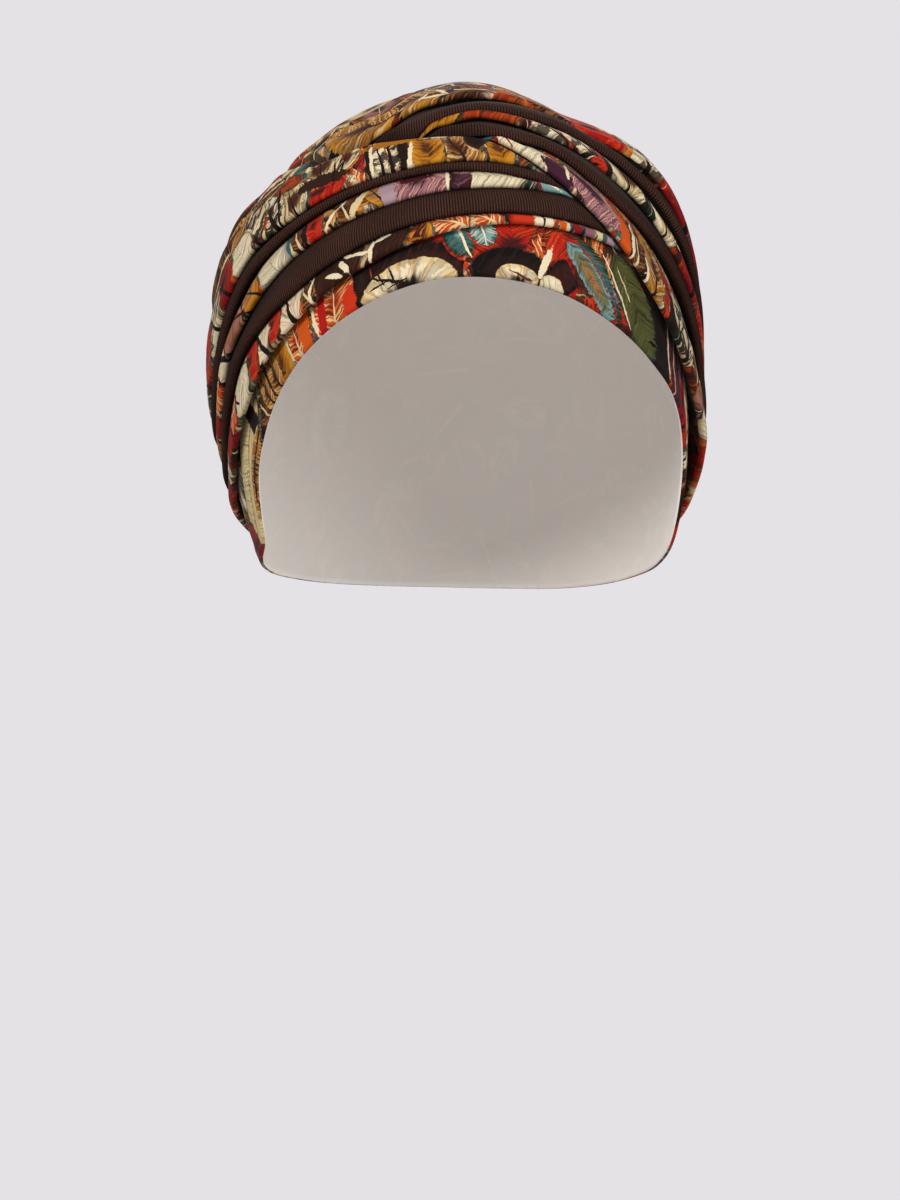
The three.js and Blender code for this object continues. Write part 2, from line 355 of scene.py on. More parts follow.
# kinds of feather in the print: dyes of core, body, edge, barbs, marks and quill, then whether it
# fans, how fine, how ragged, how barbed, how marked, pitch of the marks, end of the core and of
# the body, width of the quill
kinds = {
    "creamFan": ("soot ivory cream gold soot soot", 1, 0.75, 0.08, 0.6, 0.3, 9, 0.3, 0.8, 0.0),
    "barredCream": ("brown ivory cream tan soot soot", 0, 0.5, 0.15, 0.4, 0.9, 7, 0.15, 0.9, 0.6),
    "barredFan": ("brown cream ivory brown darkBrown soot", 1, 0.6, 0.08, 0.75, 0.6, 9, 0.5, 0.8, 0.5),
    "redFringe": ("maroon red vermilion orange maroon maroon", 0, 0.55, 0.45, 0.45, 0.0, 5, 0.35, 0.85, 0.0),
    "orangeBarb": ("rust orange vermilion straw brown cream", 0, 0.45, 0.25, 0.7, 0.0, 5, 0.3, 0.85, 0.4),
    "goldBarb": ("brown mustard gold cream darkBrown darkBrown", 0, 0.45, 0.25, 0.6, 0.3, 8, 0.4, 0.8, 0.6),
    "goldPlain": ("brown mustard gold gold brown brown", 0, 0.45, 0.2, 0.5, 0.0, 6, 0.35, 0.7, 0.0),
    "tealPlume": ("paleTeal teal green sage green ivory", 0, 0.6, 0.25, 0.5, 0.0, 5, 0.3, 0.8, 0.0),
    "olivePlume": ("olive olive green sage soot ivory", 0, 0.4, 0.12, 0.35, 0.0, 6, 0.2, 0.9, 0.0),
    "whitePlume": ("ivory ivory cream grey grey grey", 0, 0.7, 0.1, 0.35, 0.0, 5, 0.2, 0.9, 0.0),
    "greyLined": ("cream ivory grey grey soot grey", 0, 0.9, 0.1, 0.75, 0.0, 5, 0.2, 0.8, 0.2),
    "zebra": ("brown ivory cream tan soot soot", 0, 0.4, 0.15, 0.45, 0.95, 7.5, 0.3, 0.8, 1.1),
    "mauveComb": ("plum mauve mauve pink maroon pink", 0, 0.65, 0.15, 0.8, 0.0, 5, 0.25, 0.8, 0.0),
    "plumDark": ("plum plum maroon mauve soot pink", 0, 0.5, 0.15, 0.35, 0.0, 5, 0.2, 0.8, 0.0),
    "brownStreak": ("darkBrown brown darkBrown tan soot cream", 0, 0.45, 0.2, 0.55, 0.3, 8, 0.3, 0.8, 0.5),
    "darkWavy": ("darkBrown darkBrown soot brown ivory ivory", 0, 0.35, 0.08, 0.3, 0.0, 9, 0.2, 0.9, 0.0),
    "maroonGold": ("maroon maroon gold gold soot soot", 0, 0.6, 0.3, 0.6, 0.0, 6, 0.3, 0.75, 0.0),
    "whiteFan": ("rust ivory ivory vermilion soot soot", 1, 0.6, 0.35, 0.4, 0.0, 6, 0.2, 0.9, 1.0),
    "strawPlume": ("straw straw cream tan tan brown", 0, 0.85, 0.08, 0.45, 0.0, 6, 0.3, 0.7, 0.4),
    "crimsonPlume": ("maroon crimson red rust soot soot", 0, 0.45, 0.3, 0.5, 0.3, 11, 0.3, 0.8, 0.6),
    "blackPlume": ("black soot darkBrown darkBrown black black", 0, 0.45, 0.2, 0.35, 0.0, 5, 0.2, 0.8, 0.0),
    "rosePlume": ("pinkBrown pinkBrown rose tan maroon soot", 0, 0.45, 0.12, 0.4, 0.0, 5, 0.3, 0.85, 0.4),
    "tanLeaf": ("tan tan gold mustard brown soot", 0, 0.4, 0.05, 0.4, 0.0, 5, 0.3, 0.7, 0.4),
    "maroonPlume": ("maroon darkBrown black maroon black black", 0, 0.4, 0.1, 0.4, 0.0, 5, 0.2, 0.75, 0.0),
    "sootPlume": ("darkBrown soot black darkBrown black black", 0, 0.4, 0.08, 0.3, 0.0, 5, 0.3, 0.7, 0.0),
    "paleBlue": ("teal paleTeal teal ivory teal ivory", 0, 0.5, 0.3, 0.5, 0.0, 5, 0.2, 0.8, 0.6),
    "sagePlume": ("tan sage paleTeal teal soot soot", 0, 0.5, 0.3, 0.5, 0.0, 5, 0.45, 0.8, 0.0),
    "rustPlume": ("brown rust brown orange darkBrown cream", 0, 0.4, 0.2, 0.5, 0.0, 5, 0.3, 0.8, 0.0),
}


def pick(tree, share, looks):
    ramp = addNode(tree, "ShaderNodeValToRGB")
    ramp.color_ramp.interpolation = "CONSTANT"
    stops = ramp.color_ramp.elements
    while len(stops) < len(looks):
        stops.new(1.0)
    for i, color in enumerate(looks):
        stops[i].position = i / len(looks)
        stops[i].color = color
    feed(tree, ramp.inputs[0], share)
    return ramp.outputs[0]


def makeKindGroup():
    # the look of each kind of feather, picked by its number; a ramp holds only small numbers, so
    # they go in as tenths
    labels = ("Core color", "Body color", "Edge color", "Barb color", "Mark color", "Quill color")
    numbers = (("Fan", "Fine", "Ragged"), ("Barbs", "Marks", "Pitch"), ("Core", "Split", "Quill"))
    outputs = [(label, "NodeSocketColor") for label in labels]
    outputs += [(label, "NodeSocketFloat") for three in numbers for label in three]
    g, enter = newGroup("featherKind", (("Kind", "NodeSocketFloat", 0.0),), outputs)
    rows = list(kinds.values())
    share = doMath(g, "MULTIPLY_ADD", enter["Kind"], 1 / len(rows), 0.5 / len(rows))
    leave = addNode(g, "NodeGroupOutput")
    for i, label in enumerate(labels):
        feed(g, leave.inputs[label], pick(g, share, [dye(row[0].split()[i]) for row in rows]))
    for i, three in enumerate(numbers):
        tenths = [tuple(value / 10 for value in row[1 + 3 * i:4 + 3 * i]) + (1,) for row in rows]
        apart = doVector(g, "SCALE", pick(g, share, tenths), scale=10.0)
        for axis, label in zip(((1, 0, 0), (0, 1, 0), (0, 0, 1)), three):
            feed(g, leave.inputs[label], part(g, apart, axis))
    return g


topmost = {
    "reach": 1.18,                # a feather is looked for a little past its half size
    "nowhere": (900.0, 0, 0),     # stands for a place that no feather covers
}


def makeChooserGroup():
    # keeps the topmost feather that covers a place: where in it, its kind and its size
    inputs = [(label, "NodeSocketVector", (0, 0, 0)) for label in (
        "Where", "Size", "Place", "Middle", "Along", "Across", "New size", "Shrink")]
    inputs.append(("Kind", "NodeSocketFloat", 0.0))
    outputs = (("Where", "NodeSocketVector"), ("Size", "NodeSocketVector"))
    g, enter = newGroup("topmostFeather", inputs, outputs)
    away = doVector(g, "SUBTRACT", enter["Place"], enter["Middle"])
    x = part(g, away, enter["Along"])
    y = part(g, away, enter["Across"])
    here = combine(g, x, y, enter["Kind"])
    rho = doVector(g, "LENGTH", doVector(g, "MULTIPLY", here, enter["Shrink"]))
    inside = doMath(g, "LESS_THAN", rho, topmost["reach"])
    where = mixVector(g, inside, enter["Where"], here)
    size = mixVector(g, inside, enter["Size"], enter["New size"])
    leave = addNode(g, "NodeGroupOutput")
    feed(g, leave.inputs[0], where)
    feed(g, leave.inputs[1], size)
    return g


def axes(turn):
    c, s = math.cos(math.radians(turn)), math.sin(math.radians(turn))
    return Vector((c, s, 0)), Vector((-s, c, 0))


def layFeathers(tree, ground, place, wander, rows, alongAt):
    names = list(kinds)
    where, size = topmost["nowhere"], (1.0, 1.0, 1.0)
    for at, up, turn, length, width, kind in rows:
        along, across = axes(turn)
        where, size = useGroup(tree, chooserGroup, **{
            "Where": where, "Size": size, "Place": place, "Middle": (float(alongAt(at)), up, 0),
            "Along": along, "Across": across, "New size": (length / 2, width / 2, 1),
            "Shrink": (2 / length, 2 / width, 0), "Kind": float(names.index(kind))})[:]
    look = useGroup(tree, kindGroup, Kind=part(tree, where, (0, 0, 1)))
    values = {socket.name: socket for socket in look}
    return useGroup(tree, featherGroup, **{
        "Ground": ground, "X": part(tree, where, (1, 0, 0)), "Y": part(tree, where, (0, 1, 0)),
        "Half length": part(tree, size, (1, 0, 0)), "Half width": part(tree, size, (0, 1, 0)),
        "Wander": wander, **values})[0]


def layStroke(tree, ground, place, rough, middle, turn, length, width, color, bend=0.0):
    along, across = axes(turn)
    return useGroup(tree, strokeGroup, **{
        "Ground": ground, "Place": place, "Rough": rough, "Middle": middle,
        "Along": along * (2 / length), "Across": across * (2 / width), "Bend": bend,
        "Color": dye(color)})[0]


# feathers strewn at random in three layers, for the parts with no charted motif
strewn = {
    "spacing": (32.0, 25.0, 30.0),
    "length": (54.0, 40.0, 27.0),
    "width": (36.0, 25.0, 15.0),
    "start": (40.0, 0, 0),
    "shift": (170.0, 90.0, 0),    # from one layer to the next
    "randomness": 0.8,
    "turn": 6.28,
    "redraw": (7.3, 5.1),         # makes two more random numbers out of the first ones
    "fanFrom": 0.6,
    "marksFrom": 0.66,
    "marks": 0.85,
    "quill": 0.65,
    "cores": "darkBrown soot rust maroon brown green",
    "bodies": "cream rust red mustard brown ivory teal crimson darkBrown orange mauve",
    "barbs": "tan gold soot cream orange",
    "edges": "soot gold darkBrown vermilion cream maroon brown olive",
}


def makePlumageGroup():
    inputs = (("Place", "NodeSocketVector", (0, 0, 0)), ("Wander", "NodeSocketFloat", 0.5))
    g, enter = newGroup("strewnPlumage", inputs, (("Color", "NodeSocketColor"),))

    def pickDye(share, names):
        return pick(g, share, [dye(name) for name in strewn[names].split()])

    def redrawn(value, times):
        return doMath(g, "FRACT", doMath(g, "MULTIPLY", value, times))

    color = dye("darkBrown")
    for i, spacing in enumerate(strewn["spacing"]):
        offset = tuple(i * step + start for step, start in zip(strewn["shift"], strewn["start"]))
        shifted = doVector(g, "ADD", enter["Place"], offset)
        cells = addNode(g, "ShaderNodeTexVoronoi", voronoi_dimensions="2D", feature="F1")
        feed(g, cells.inputs["Vector"], shifted)
        feed(g, cells.inputs["Scale"], 1.0 / spacing)
        feed(g, cells.inputs["Randomness"], strewn["randomness"])
        local = doVector(g, "SUBTRACT", shifted, cells.outputs["Position"])
        random = addNode(g, "ShaderNodeSeparateColor")
        feed(g, random.inputs[0], cells.outputs["Color"])
        first, second, third = random.outputs[:3]
        angle = doMath(g, "MULTIPLY", first, strewn["turn"])
        toward = combine(g, doMath(g, "COSINE", angle), doMath(g, "SINE", angle))
        sideways = doVector(g, "CROSS_PRODUCT", (0, 0, 1), toward)
        body = pickDye(second, "bodies")
        edge = pickDye(third, "edges")
        core = pickDye(redrawn(second, strewn["redraw"][0]), "cores")
        barb = pickDye(redrawn(third, strewn["redraw"][1]), "barbs")
        marked = doMath(g, "GREATER_THAN", first, strewn["marksFrom"])
        color = useGroup(g, featherGroup, **{
            "Ground": color, "X": part(g, local, toward), "Y": part(g, local, sideways),
            "Wander": enter["Wander"],
            "Half length": strewn["length"][i] / 2, "Half width": strewn["width"][i] / 2,
            "Fan": doMath(g, "GREATER_THAN", third, strewn["fanFrom"]),
            "Fine": 0.5, "Ragged": 0.25, "Barbs": 0.6,
            "Marks": doMath(g, "MULTIPLY", marked, strewn["marks"]),
            "Pitch": 8.0, "Core": 0.35, "Split": 0.78,
            "Quill": doMath(g, "MULTIPLY", first, strewn["quill"]),
            "Core color": core, "Body color": body, "Edge color": edge, "Barb color": barb,
            "Mark color": dye("soot"), "Quill color": dye("cream"),
        })[0]
    leave = addNode(g, "NodeGroupOutput")
    feed(g, leave.inputs[0], color)
    return g


featherGroup = makeFeatherGroup()
kindGroup = makeKindGroup()
chooserGroup = makeChooserGroup()
strokeGroup = makeStrokeGroup()
plumageGroup = makePlumageGroup()
print("print groups made")

headForm = {
    "halfWidth": 82.0,
    "halfLength": 96.0,
    "crownHeight": 97.0,
    "napeDepth": 120.0,
    "widerBehind": 0.06,
    "planPower": 2.2,
    "crownPower": 2.0,
    "napePower": 2.35,
    "lean": 0.045,
    "rimTilt": 31.0,
}


def table(names, rows):
    return {name: np.array([row[i] for row in rows], float) for i, name in enumerate(names)}


rim = table(("round", "rim"), (
    (-180, -13.2), (-165, -14.5), (-150, -18.8), (-135, -26), (-120, -34), (-107, -38.6),
    (-97, -36), (-88, -32.2), (-76, -28.6), (-60, -23.6), (-45, -19.6), (-30, -16.4),
    (-14, -14.3), (0, -14.6), (14, -16.6), (30, -20.2), (45, -23), (60, -24.6),
    (72, -27.2), (84, -31.6), (97, -37), (107, -37), (120, -32.5), (135, -25),
    (150, -18.6), (165, -14.4), (180, -13.2),
))

winding = table(
    ("wound", "low", "ribWide", "mid", "ribSlim", "high", "end", "lift", "crest", "shoulder"),
    (
        (-37.5, -3, 0, 6, 6, 9, 21, 2.8, 2.8, 2.4),
        (-20, -3, -0.5, 6, 6.6, 10, 21, 3, 3, 2.6),
        (0, -3.4, -0.7, 5.7, 10, 13, 21, 3.4, 3.8, 3.4),
        (20, -7, -2.6, 4.2, 10, 12.2, 23.5, 3.6, 4.2, 3.8),
        (45, -13, -6.8, 1.7, 8.6, 12.4, 31.5, 4.2, 5, 4.2),
        (60, -16.8, -8.6, -1.6, 7, 13, 40, 4.6, 6, 5.6),
        (75, -20.6, -10.8, -5, 1.6, 8, 47, 4.8, 6.8, 9.4),
        (90, -22.5, -14.8, -9.2, -4.4, 1, 52, 4.4, 6.6, 7),
        (100, -23, -16.5, -11, -6, -0.5, 54, 3.8, 6.4, 5.6),
        (110, -22, -16, -10.6, -5.6, 0, 55, 3.6, 6, 5),
        (120, -18.8, -12.8, -7.4, -2.4, 3.2, 56, 3.8, 5.6, 4.6),
        (130, -15.6, -9.4, -4, 1.2, 6.8, 56, 4.2, 5.4, 4.4),
        (150, -11, -4.6, 1.2, 6.4, 11.6, 56, 4.6, 5.2, 4.2),
        (180, -8, -1.5, 4.5, 10, 15, 56, 4.8, 5, 4),
        (210, -14, -7.5, -1.5, 4, 9.5, 56, 4.8, 5, 4),
        (230, -19, -12.5, -6.5, -0.5, 5.5, 56.5, 5.2, 5.4, 4.2),
        (250, -22.6, -15.5, -8.6, -2.5, 3.6, 57, 6, 6, 4.6),
        (270, -21.8, -13.5, -7.4, -1.5, 4.5, 57.5, 7, 6.4, 5.4),
        (285, -20.2, -10.2, -4.6, 1, 7.4, 58, 5.4, 7.4, 6.6),
        (300, -17.8, -6, -0.5, 5, 12, 59, 5, 10, 7.6),
        (307.5, -15.6, -3, 2.6, 9.6, 18, 59.5, 4.9, 12, 7.4),
        (315, -12.6, 0.8, 8, 16, 24.5, 60, 4.8, 11.6, 6.4),
        (322.5, -8.6, 5, 14.2, 24, 31.5, 60.5, 4.6, 7.6, 5),
        (330, -3.2, 8.4, 18.2, 28.6, 36, 61, 4.4, 4, 4.2),
        (337.5, 2.6, 12.8, 21.3, 29.3, 37.6, 61.5, 4.4, 4.2, 4.6),
        (345, 9, 17.6, 23.5, 29.4, 38.3, 62, 4.4, 5, 5),
        (352.5, 15.2, 19.3, 25.8, 29.8, 38.4, 62.5, 4.7, 5.8, 5.4),
        (360, 20.2, 20.7, 27.3, 29.3, 37.6, 62.5, 5, 6.2, 5.6),
        (367.5, 21.6, 21.6, 24.8, 27, 35.6, 62, 4.8, 5.8, 5.2),
        (375, 22, 22, 22, 22.4, 33, 60.5, 4.6, 5.4, 4.8),
        (382.5, 23.6, 23.6, 23.6, 23.6, 26, 58.5, 4.4, 5, 4.4),
        (400, 26, 26, 26, 26, 26, 54, 4, 4.4, 3.8),
        (420, 36, 36, 36, 36, 36, 52, 4, 3.8, 3.2),
        (450, 50, 50, 50, 50, 50, 53, 4, 2.8, 2.4),
    ),
)

windingStart, windingEnd = -37.5, 450.0
mmPerDegree = 1.62            # across the cloth, over the head


def columnAt(t, place, column, at):
    # a smooth curve through one column of a table
    x, y = t[place], t[column]
    slope = np.zeros(len(x))
    slope[1:-1] = (y[2:] - y[:-2]) / (x[2:] - x[:-2])
    at = np.asarray(at, float)
    i = np.clip(np.searchsorted(x, at, "right") - 1, 0, len(x) - 2)
    span = x[i + 1] - x[i]
    s = np.clip((at - x[i]) / span, 0, 1)
    rise = y[i + 1] - y[i]
    eased = rise * s * s * (3 - 2 * s)
    return y[i] + eased + span * s * (1 - s) * ((1 - s) * slope[i] - s * slope[i + 1])


def headRadius(direction):
    h = headForm
    up = direction[..., 2] > 0
    power = np.where(up, h["crownPower"], h["napePower"])
    depth = np.where(up, h["crownHeight"], h["napeDepth"])
    sideways = direction[..., 0] + h["lean"] * np.minimum(direction[..., 2], 0)
    radius = np.full(direction.shape[:-1], h["halfLength"])
    for _ in range(4):        # the form is wider behind, so its radius is found in rounds
        behind = np.clip(direction[..., 1] * radius / h["halfLength"], -1, 1)
        halfWidth = h["halfWidth"] * (1 + h["widerBehind"] * behind)
        plan = (np.abs(sideways / halfWidth) ** h["planPower"]
                + np.abs(direction[..., 1] / h["halfLength"]) ** h["planPower"])
        form = plan ** (power / h["planPower"]) + np.abs(direction[..., 2] / depth) ** power
        radius = form ** (-1 / power)
    return radius


def overHead(around, above, height):
    # degrees round from the front, degrees above the tilted rim, millimetres off the head form
    around, above, height = np.broadcast_arrays(
        np.asarray(around, float), np.asarray(above, float), np.asarray(height, float))
    tilt = math.radians(headForm["rimTilt"])
    forward = np.array([0.0, -math.cos(tilt), math.sin(tilt)])
    normal = np.array([0.0, math.sin(tilt), math.cos(tilt)])
    a, b = np.radians(around), np.radians(above)
    direction = ((np.cos(b) * np.cos(a))[..., None] * forward
                 + (np.cos(b) * np.sin(a))[..., None] * np.array([1.0, 0.0, 0.0])
                 + np.sin(b)[..., None] * normal)
    reach = headRadius(direction) + height
    return direction * reach[..., None] + np.array([0.0, 0.0, -headForm["crownHeight"]])


def smoothStep(low, high, value):
    s = np.clip((value - low) / (high - low), 0, 1)
    return s * s * (3 - 2 * s)


cloth = {
    "capWall": 1.6,
    "base": 0.25,             # underside of a pleat over the cap
    "baseShare": 0.6,         # of base, for the middle of the underside
    "noseRadius": 1.5,
    "noseShare": 0.42,        # of a pleat's height or width, where it is thin
    "undercut": 3.2,          # how far a fold is undercut before it lies on the cap
    "overlap": 2.4,           # how far an upper edge runs under the next fold
    "tailHeight": 0.8,
    "fullWidth": 12,          # mm from which a pleat swells fully
    "flattening": 0.6,        # how far a pleat sinks toward its upper edge
    "underFold": 1.3,         # degrees that a crossed pleat runs on under the fold over it
    "startUnder": 30,         # wound degrees up to which the start lies under its last turn
    "endOver": 362,           # and from which the last turn lies over the start
    "tuckReach": 3.6,         # mm over which cloth dips where it goes under a fold
    "tuckStart": -1.5,
    "tuckBefore": 40,         # wound degrees of the two dips
    "tuckAfter": (357, 366),
    "tuckedHeight": 0.5,
    "endTaper": 5,            # degrees over which a pleat's ends thin out
    "step": 1.25,             # degrees between sections of the printed cloth
    "leastWidth": 0.35,       # degrees
    "narrowest": 0.4,
    "sway": (0.04, 90),       # share and period of a pleat's slow rise and fall
    "middleHeight": 5.0,      # of the cloth over the head, for measuring along it
    "crownPrintFrom": 36.0,
    "crownPrintAway": 500,    # mm between the crown's print and the rest
    "ribPitch": 1.0,
    "ribDepth": 0.2,
}

section = {                   # columns of a pleat's section, from under the fold right round
    "under": (1.0, 0.6, 0.25),    # shares of the undercut
    "nose": (-90, -65, -40, -15, 10, 35, 60),   # degrees round the fold
    "tail": (0.35, 0.7, 1.0),
    "back": (0.98, 0.75, 0.5, 0.25),
}

ripple = {"height": 0.16, "along": 0.19, "across": 0.9, "slow": 0.043, "fullWidth": 10}

paintedFoldShade = {                   # painted shade: how much light reaches the cloth round the folds, multiplied into its colour
    "under": 0.1,
    "nose": (0.25, 0.55, 0.85, 1.0),
    "edge": 0.35,
    "edgeReach": (-0.2, 1.6),
    "tail": 0.15,
    "crownLift": 0.6,         # the crown is more open
    "tucked": 0.3,
}


def foldLine(wound, fold):
    own = columnAt(winding, "wound", fold, wound)
    over = columnAt(winding, "wound", "low", wound + 360) + cloth["underFold"]
    under = columnAt(winding, "wound", "end", wound - 360) - cloth["underFold"]
    first = np.minimum(own, over)
    last = np.maximum(own, under)
    later = np.where(wound > cloth["endOver"], last, own)
    return np.where(wound < cloth["startUnder"], first, later)


def crownPrintAt(around, above):
    # over the crown the print lies flat, as seen from the top
    fromTop = (90 - above) * mmPerDegree
    spun = np.radians(around)
    flat = np.stack([fromTop * np.sin(spun), fromTop * np.cos(spun)], -1)
    return flat - cloth["crownPrintAway"]


def arcLength(wound, above):
    points = overHead(-wound, above, cloth["middleHeight"])
    steps = np.linalg.norm(np.diff(points, axis=0), axis=1)
    return np.concatenate([[0.0], np.cumsum(steps)])


def sway(at, seed, period):
    # three waves that don't repeat together
    phase = np.random.default_rng(seed).uniform(0, 2 * math.pi, 3)
    waves = ((0.55, 1.0), (0.3, 2.17), (0.15, 3.34))
    return sum(share * np.sin(2 * math.pi * at * often / period + phase[i])
               for i, (share, often) in enumerate(waves))


def closedSkin(name, rings, along, across, crownPrint=None):
    # a closed mesh through rings of points, with its place on the cloth as clothMap
    count, size = rings.shape[:2]
    here = np.arange(count * size).reshape(count, size)
    there = np.roll(here, -1, axis=1)
    quads = np.stack([here[:-1], there[:-1], there[1:], here[1:]], -1).reshape(-1, 4)
    alongAt = np.broadcast_to(along[:, None], across.shape) if along.ndim == 1 else along
    flat = np.stack([alongAt, across], -1).reshape(-1, 2)
    cornerUv = flat[quads].reshape(-1, 2)
    if crownPrint is not None:
        onTop = (across.ravel()[quads] > cloth["crownPrintFrom"]).all(axis=1)
        topUv = crownPrint.reshape(-1, 2)[quads].reshape(-1, 2)
        cornerUv = np.where(np.repeat(onTop, 4)[:, None], topUv, cornerUv)
    caps, capUv = [], []
    for r, far in ((0, False), (count - 1, True)):
        middle = count * size + (1 if far else 0)
        a, b = (here[r], there[r]) if far else (there[r], here[r])
        caps.append(np.stack([a, b, np.full(size, middle)], -1).ravel())
        centreUv = np.broadcast_to(flat[here[r]].mean(axis=0), (size, 2))
        capUv.append(np.stack([flat[a], flat[b], centreUv], 1).reshape(-1, 2))
    verts = np.vstack([rings.reshape(-1, 3), rings[0].mean(axis=0), rings[-1].mean(axis=0)]) * mm
    loops = np.concatenate([quads.ravel(), *caps])
    lengths = np.concatenate([np.full(len(quads), 4), np.full(2 * size, 3)])
    data = bpy.data.meshes.new(name)
    data.vertices.add(len(verts))
    data.vertices.foreach_set("co", verts.ravel())
    data.loops.add(len(loops))
    data.loops.foreach_set("vertex_index", loops)
    data.polygons.add(len(lengths))
    data.polygons.foreach_set("loop_start", np.concatenate([[0], np.cumsum(lengths)[:-1]]))
    data.polygons.foreach_set("loop_total", lengths)
    data.polygons.foreach_set("use_smooth", np.ones(len(lengths), bool))
    data.update(calc_edges=True)
    data.validate()
    layer = data.uv_layers.new(name="clothMap")
    layer.data.foreach_set("uv", (np.vstack([cornerUv, *capUv]) * mm).astype(np.float32).ravel())
    piece = bpy.data.objects.new(name, data)
    bpy.context.scene.collection.objects.link(piece)
    return piece


def addAttribute(piece, name, values):
    layer = piece.data.attributes.new(name, "FLOAT", "POINT")
    ends = [values[0].mean(), values[-1].mean()]
    layer.data.foreach_set("value", np.concatenate([values.ravel(), ends]).astype(np.float32))


pleats = {
    "printPleatLow": {"node": "print_pleat_low", "from": "low", "to": "ribWide",
                      "toCrest": 0.0, "arch": 0.5, "seed": 3, "columns": 17, "rib": False},
    "ribPleatWide": {"node": "rib_pleat_wide", "from": "ribWide", "to": "mid",
                     "toCrest": 0.15, "arch": 0.3, "seed": 5, "columns": 12, "rib": True},
    "printPleatMid": {"node": "print_pleat_mid", "from": "mid", "to": "ribSlim",
                      "toCrest": 0.35, "arch": 0.5, "seed": 8, "columns": 17, "rib": False},
    "ribPleatSlim": {"node": "rib_pleat_slim", "from": "ribSlim", "to": "high",
                     "toCrest": 0.65, "arch": 0.3, "seed": 13, "columns": 12, "rib": True},
    "printPleatHigh": {"node": "print_pleat_high", "from": "high", "to": "end",
                       "toCrest": 1.0, "arch": 0.0, "seed": 21, "columns": 47, "rib": False},
}


# degrees along the winding: how finely it is searched and where sections lie
sections = {
    "search": 0.25,
    "ribSearch": 0.1,
    "start": (0, 0.15, 0.4, 0.8, 1.3),
    "inner": (2, 1.5),
    "finish": (1.0, 0.6, 0.3, 0.1, 0),
}


def pleatRange(p):
    at = np.arange(windingStart, windingEnd, sections["search"])
    wide = foldLine(at, p["to"]) - foldLine(at, p["from"]) > cloth["leastWidth"]
    first = int(np.argmax(wide))
    closing = np.nonzero(~wide[first:])[0]
    last = first + int(closing[0]) - 1 if len(closing) else len(at) - 1
    return at[first], at[last]


def middleLength(p, wound):
    middle = (foldLine(wound, p["from"]) + foldLine(wound, p["to"])) / 2
    return arcLength(wound, middle)


def sectionPlaces(p):
    start, finish = pleatRange(p)
    if p["rib"]:
        fine = np.arange(start, finish, sections["ribSearch"])
        length = middleLength(p, fine)
        even = np.arange(0, length[-1], cloth["ribPitch"] / 2)
        return np.interp(even, length, fine), even
    after, before = sections["inner"]
    inner = np.arange(start + after, finish - before, cloth["step"])
    wound = np.concatenate([start + np.array(sections["start"]), inner,
                            finish - np.array(sections["finish"])])
    return wound, middleLength(p, wound)


crownLay = {
    "across": (0, 0.07, 0.22, 0.4, 0.6, 0.8, 1.0),
    "foldShare": (1, 1, 0.8, 0.3, 0, 0, 0),
    "shoulderShare": (0, 0, 0.2, 0.7, 1, 0.6, 0.12),
    "softening": 9,
    "drape": (0.55, 0.122, 5),    # slow waves: height, how often, how slanted
    "folds": (3.6, 0.9, 40),      # slanting folds: how many across, how far and where they wander
    "smallFolds": (0.45, 1.7),
    "foldDepth": (0.65, 0.4),     # deeper behind than in front
    "foldsBetween": ((0.1, 0.3), (0.7, 0.95)),
    "frontArch": 0.12,
    "frontEdge": (0.8, 0.2, 0.94, 2.5),   # in front the cloth rounds off toward its upper edge
    "behindFrom": (50, 85),
    "overlap": (1.2, 0.2),
    "tailHeight": 0.35,
}


def crownHeights(t, stand, shoulder, atFront, wound):
    # over the crown the cloth rolls from the fold up to a shoulder, then lies flat
    lay = crownLay
    soft = np.hanning(lay["softening"]) / np.hanning(lay["softening"]).sum()

    def softened(shares):
        shares = np.interp(t, lay["across"], lay[shares])
        return np.convolve(np.pad(shares, lay["softening"] // 2, "edge"), soft, "valid")

    behind = stand * softened("foldShare") + shoulder * softened("shoulderShare")
    high, often, slanted = lay["drape"]
    drape = high * np.sin(wound * often + slanted * t) * np.sin(math.pi * t) ** 2
    count, wander, start = lay["folds"]
    slant = 2 * math.pi * (count * t + wander * np.sin(np.radians(wound + start)))
    share, often = lay["smallFolds"]
    swag = np.sin(slant) + share * np.sin(often * slant + np.radians(wound * 2))
    deep, shallower = lay["foldDepth"]
    swag = swag * (deep - shallower * np.cos(np.radians(wound)))
    rising, falling = lay["foldsBetween"]
    drape = drape + swag * smoothStep(*rising, t) * (1 - smoothStep(*falling, t))
    edgeFrom, edgeOver, bend, power = lay["frontEdge"]
    edge = np.clip((t - edgeFrom) / edgeOver, 0, 1)
    front = stand * (1 + lay["frontArch"] * np.sin(math.pi * t)) * np.sqrt(1 - bend * edge ** power)
    return (behind + drape) * (1 - atFront) + front * atFront


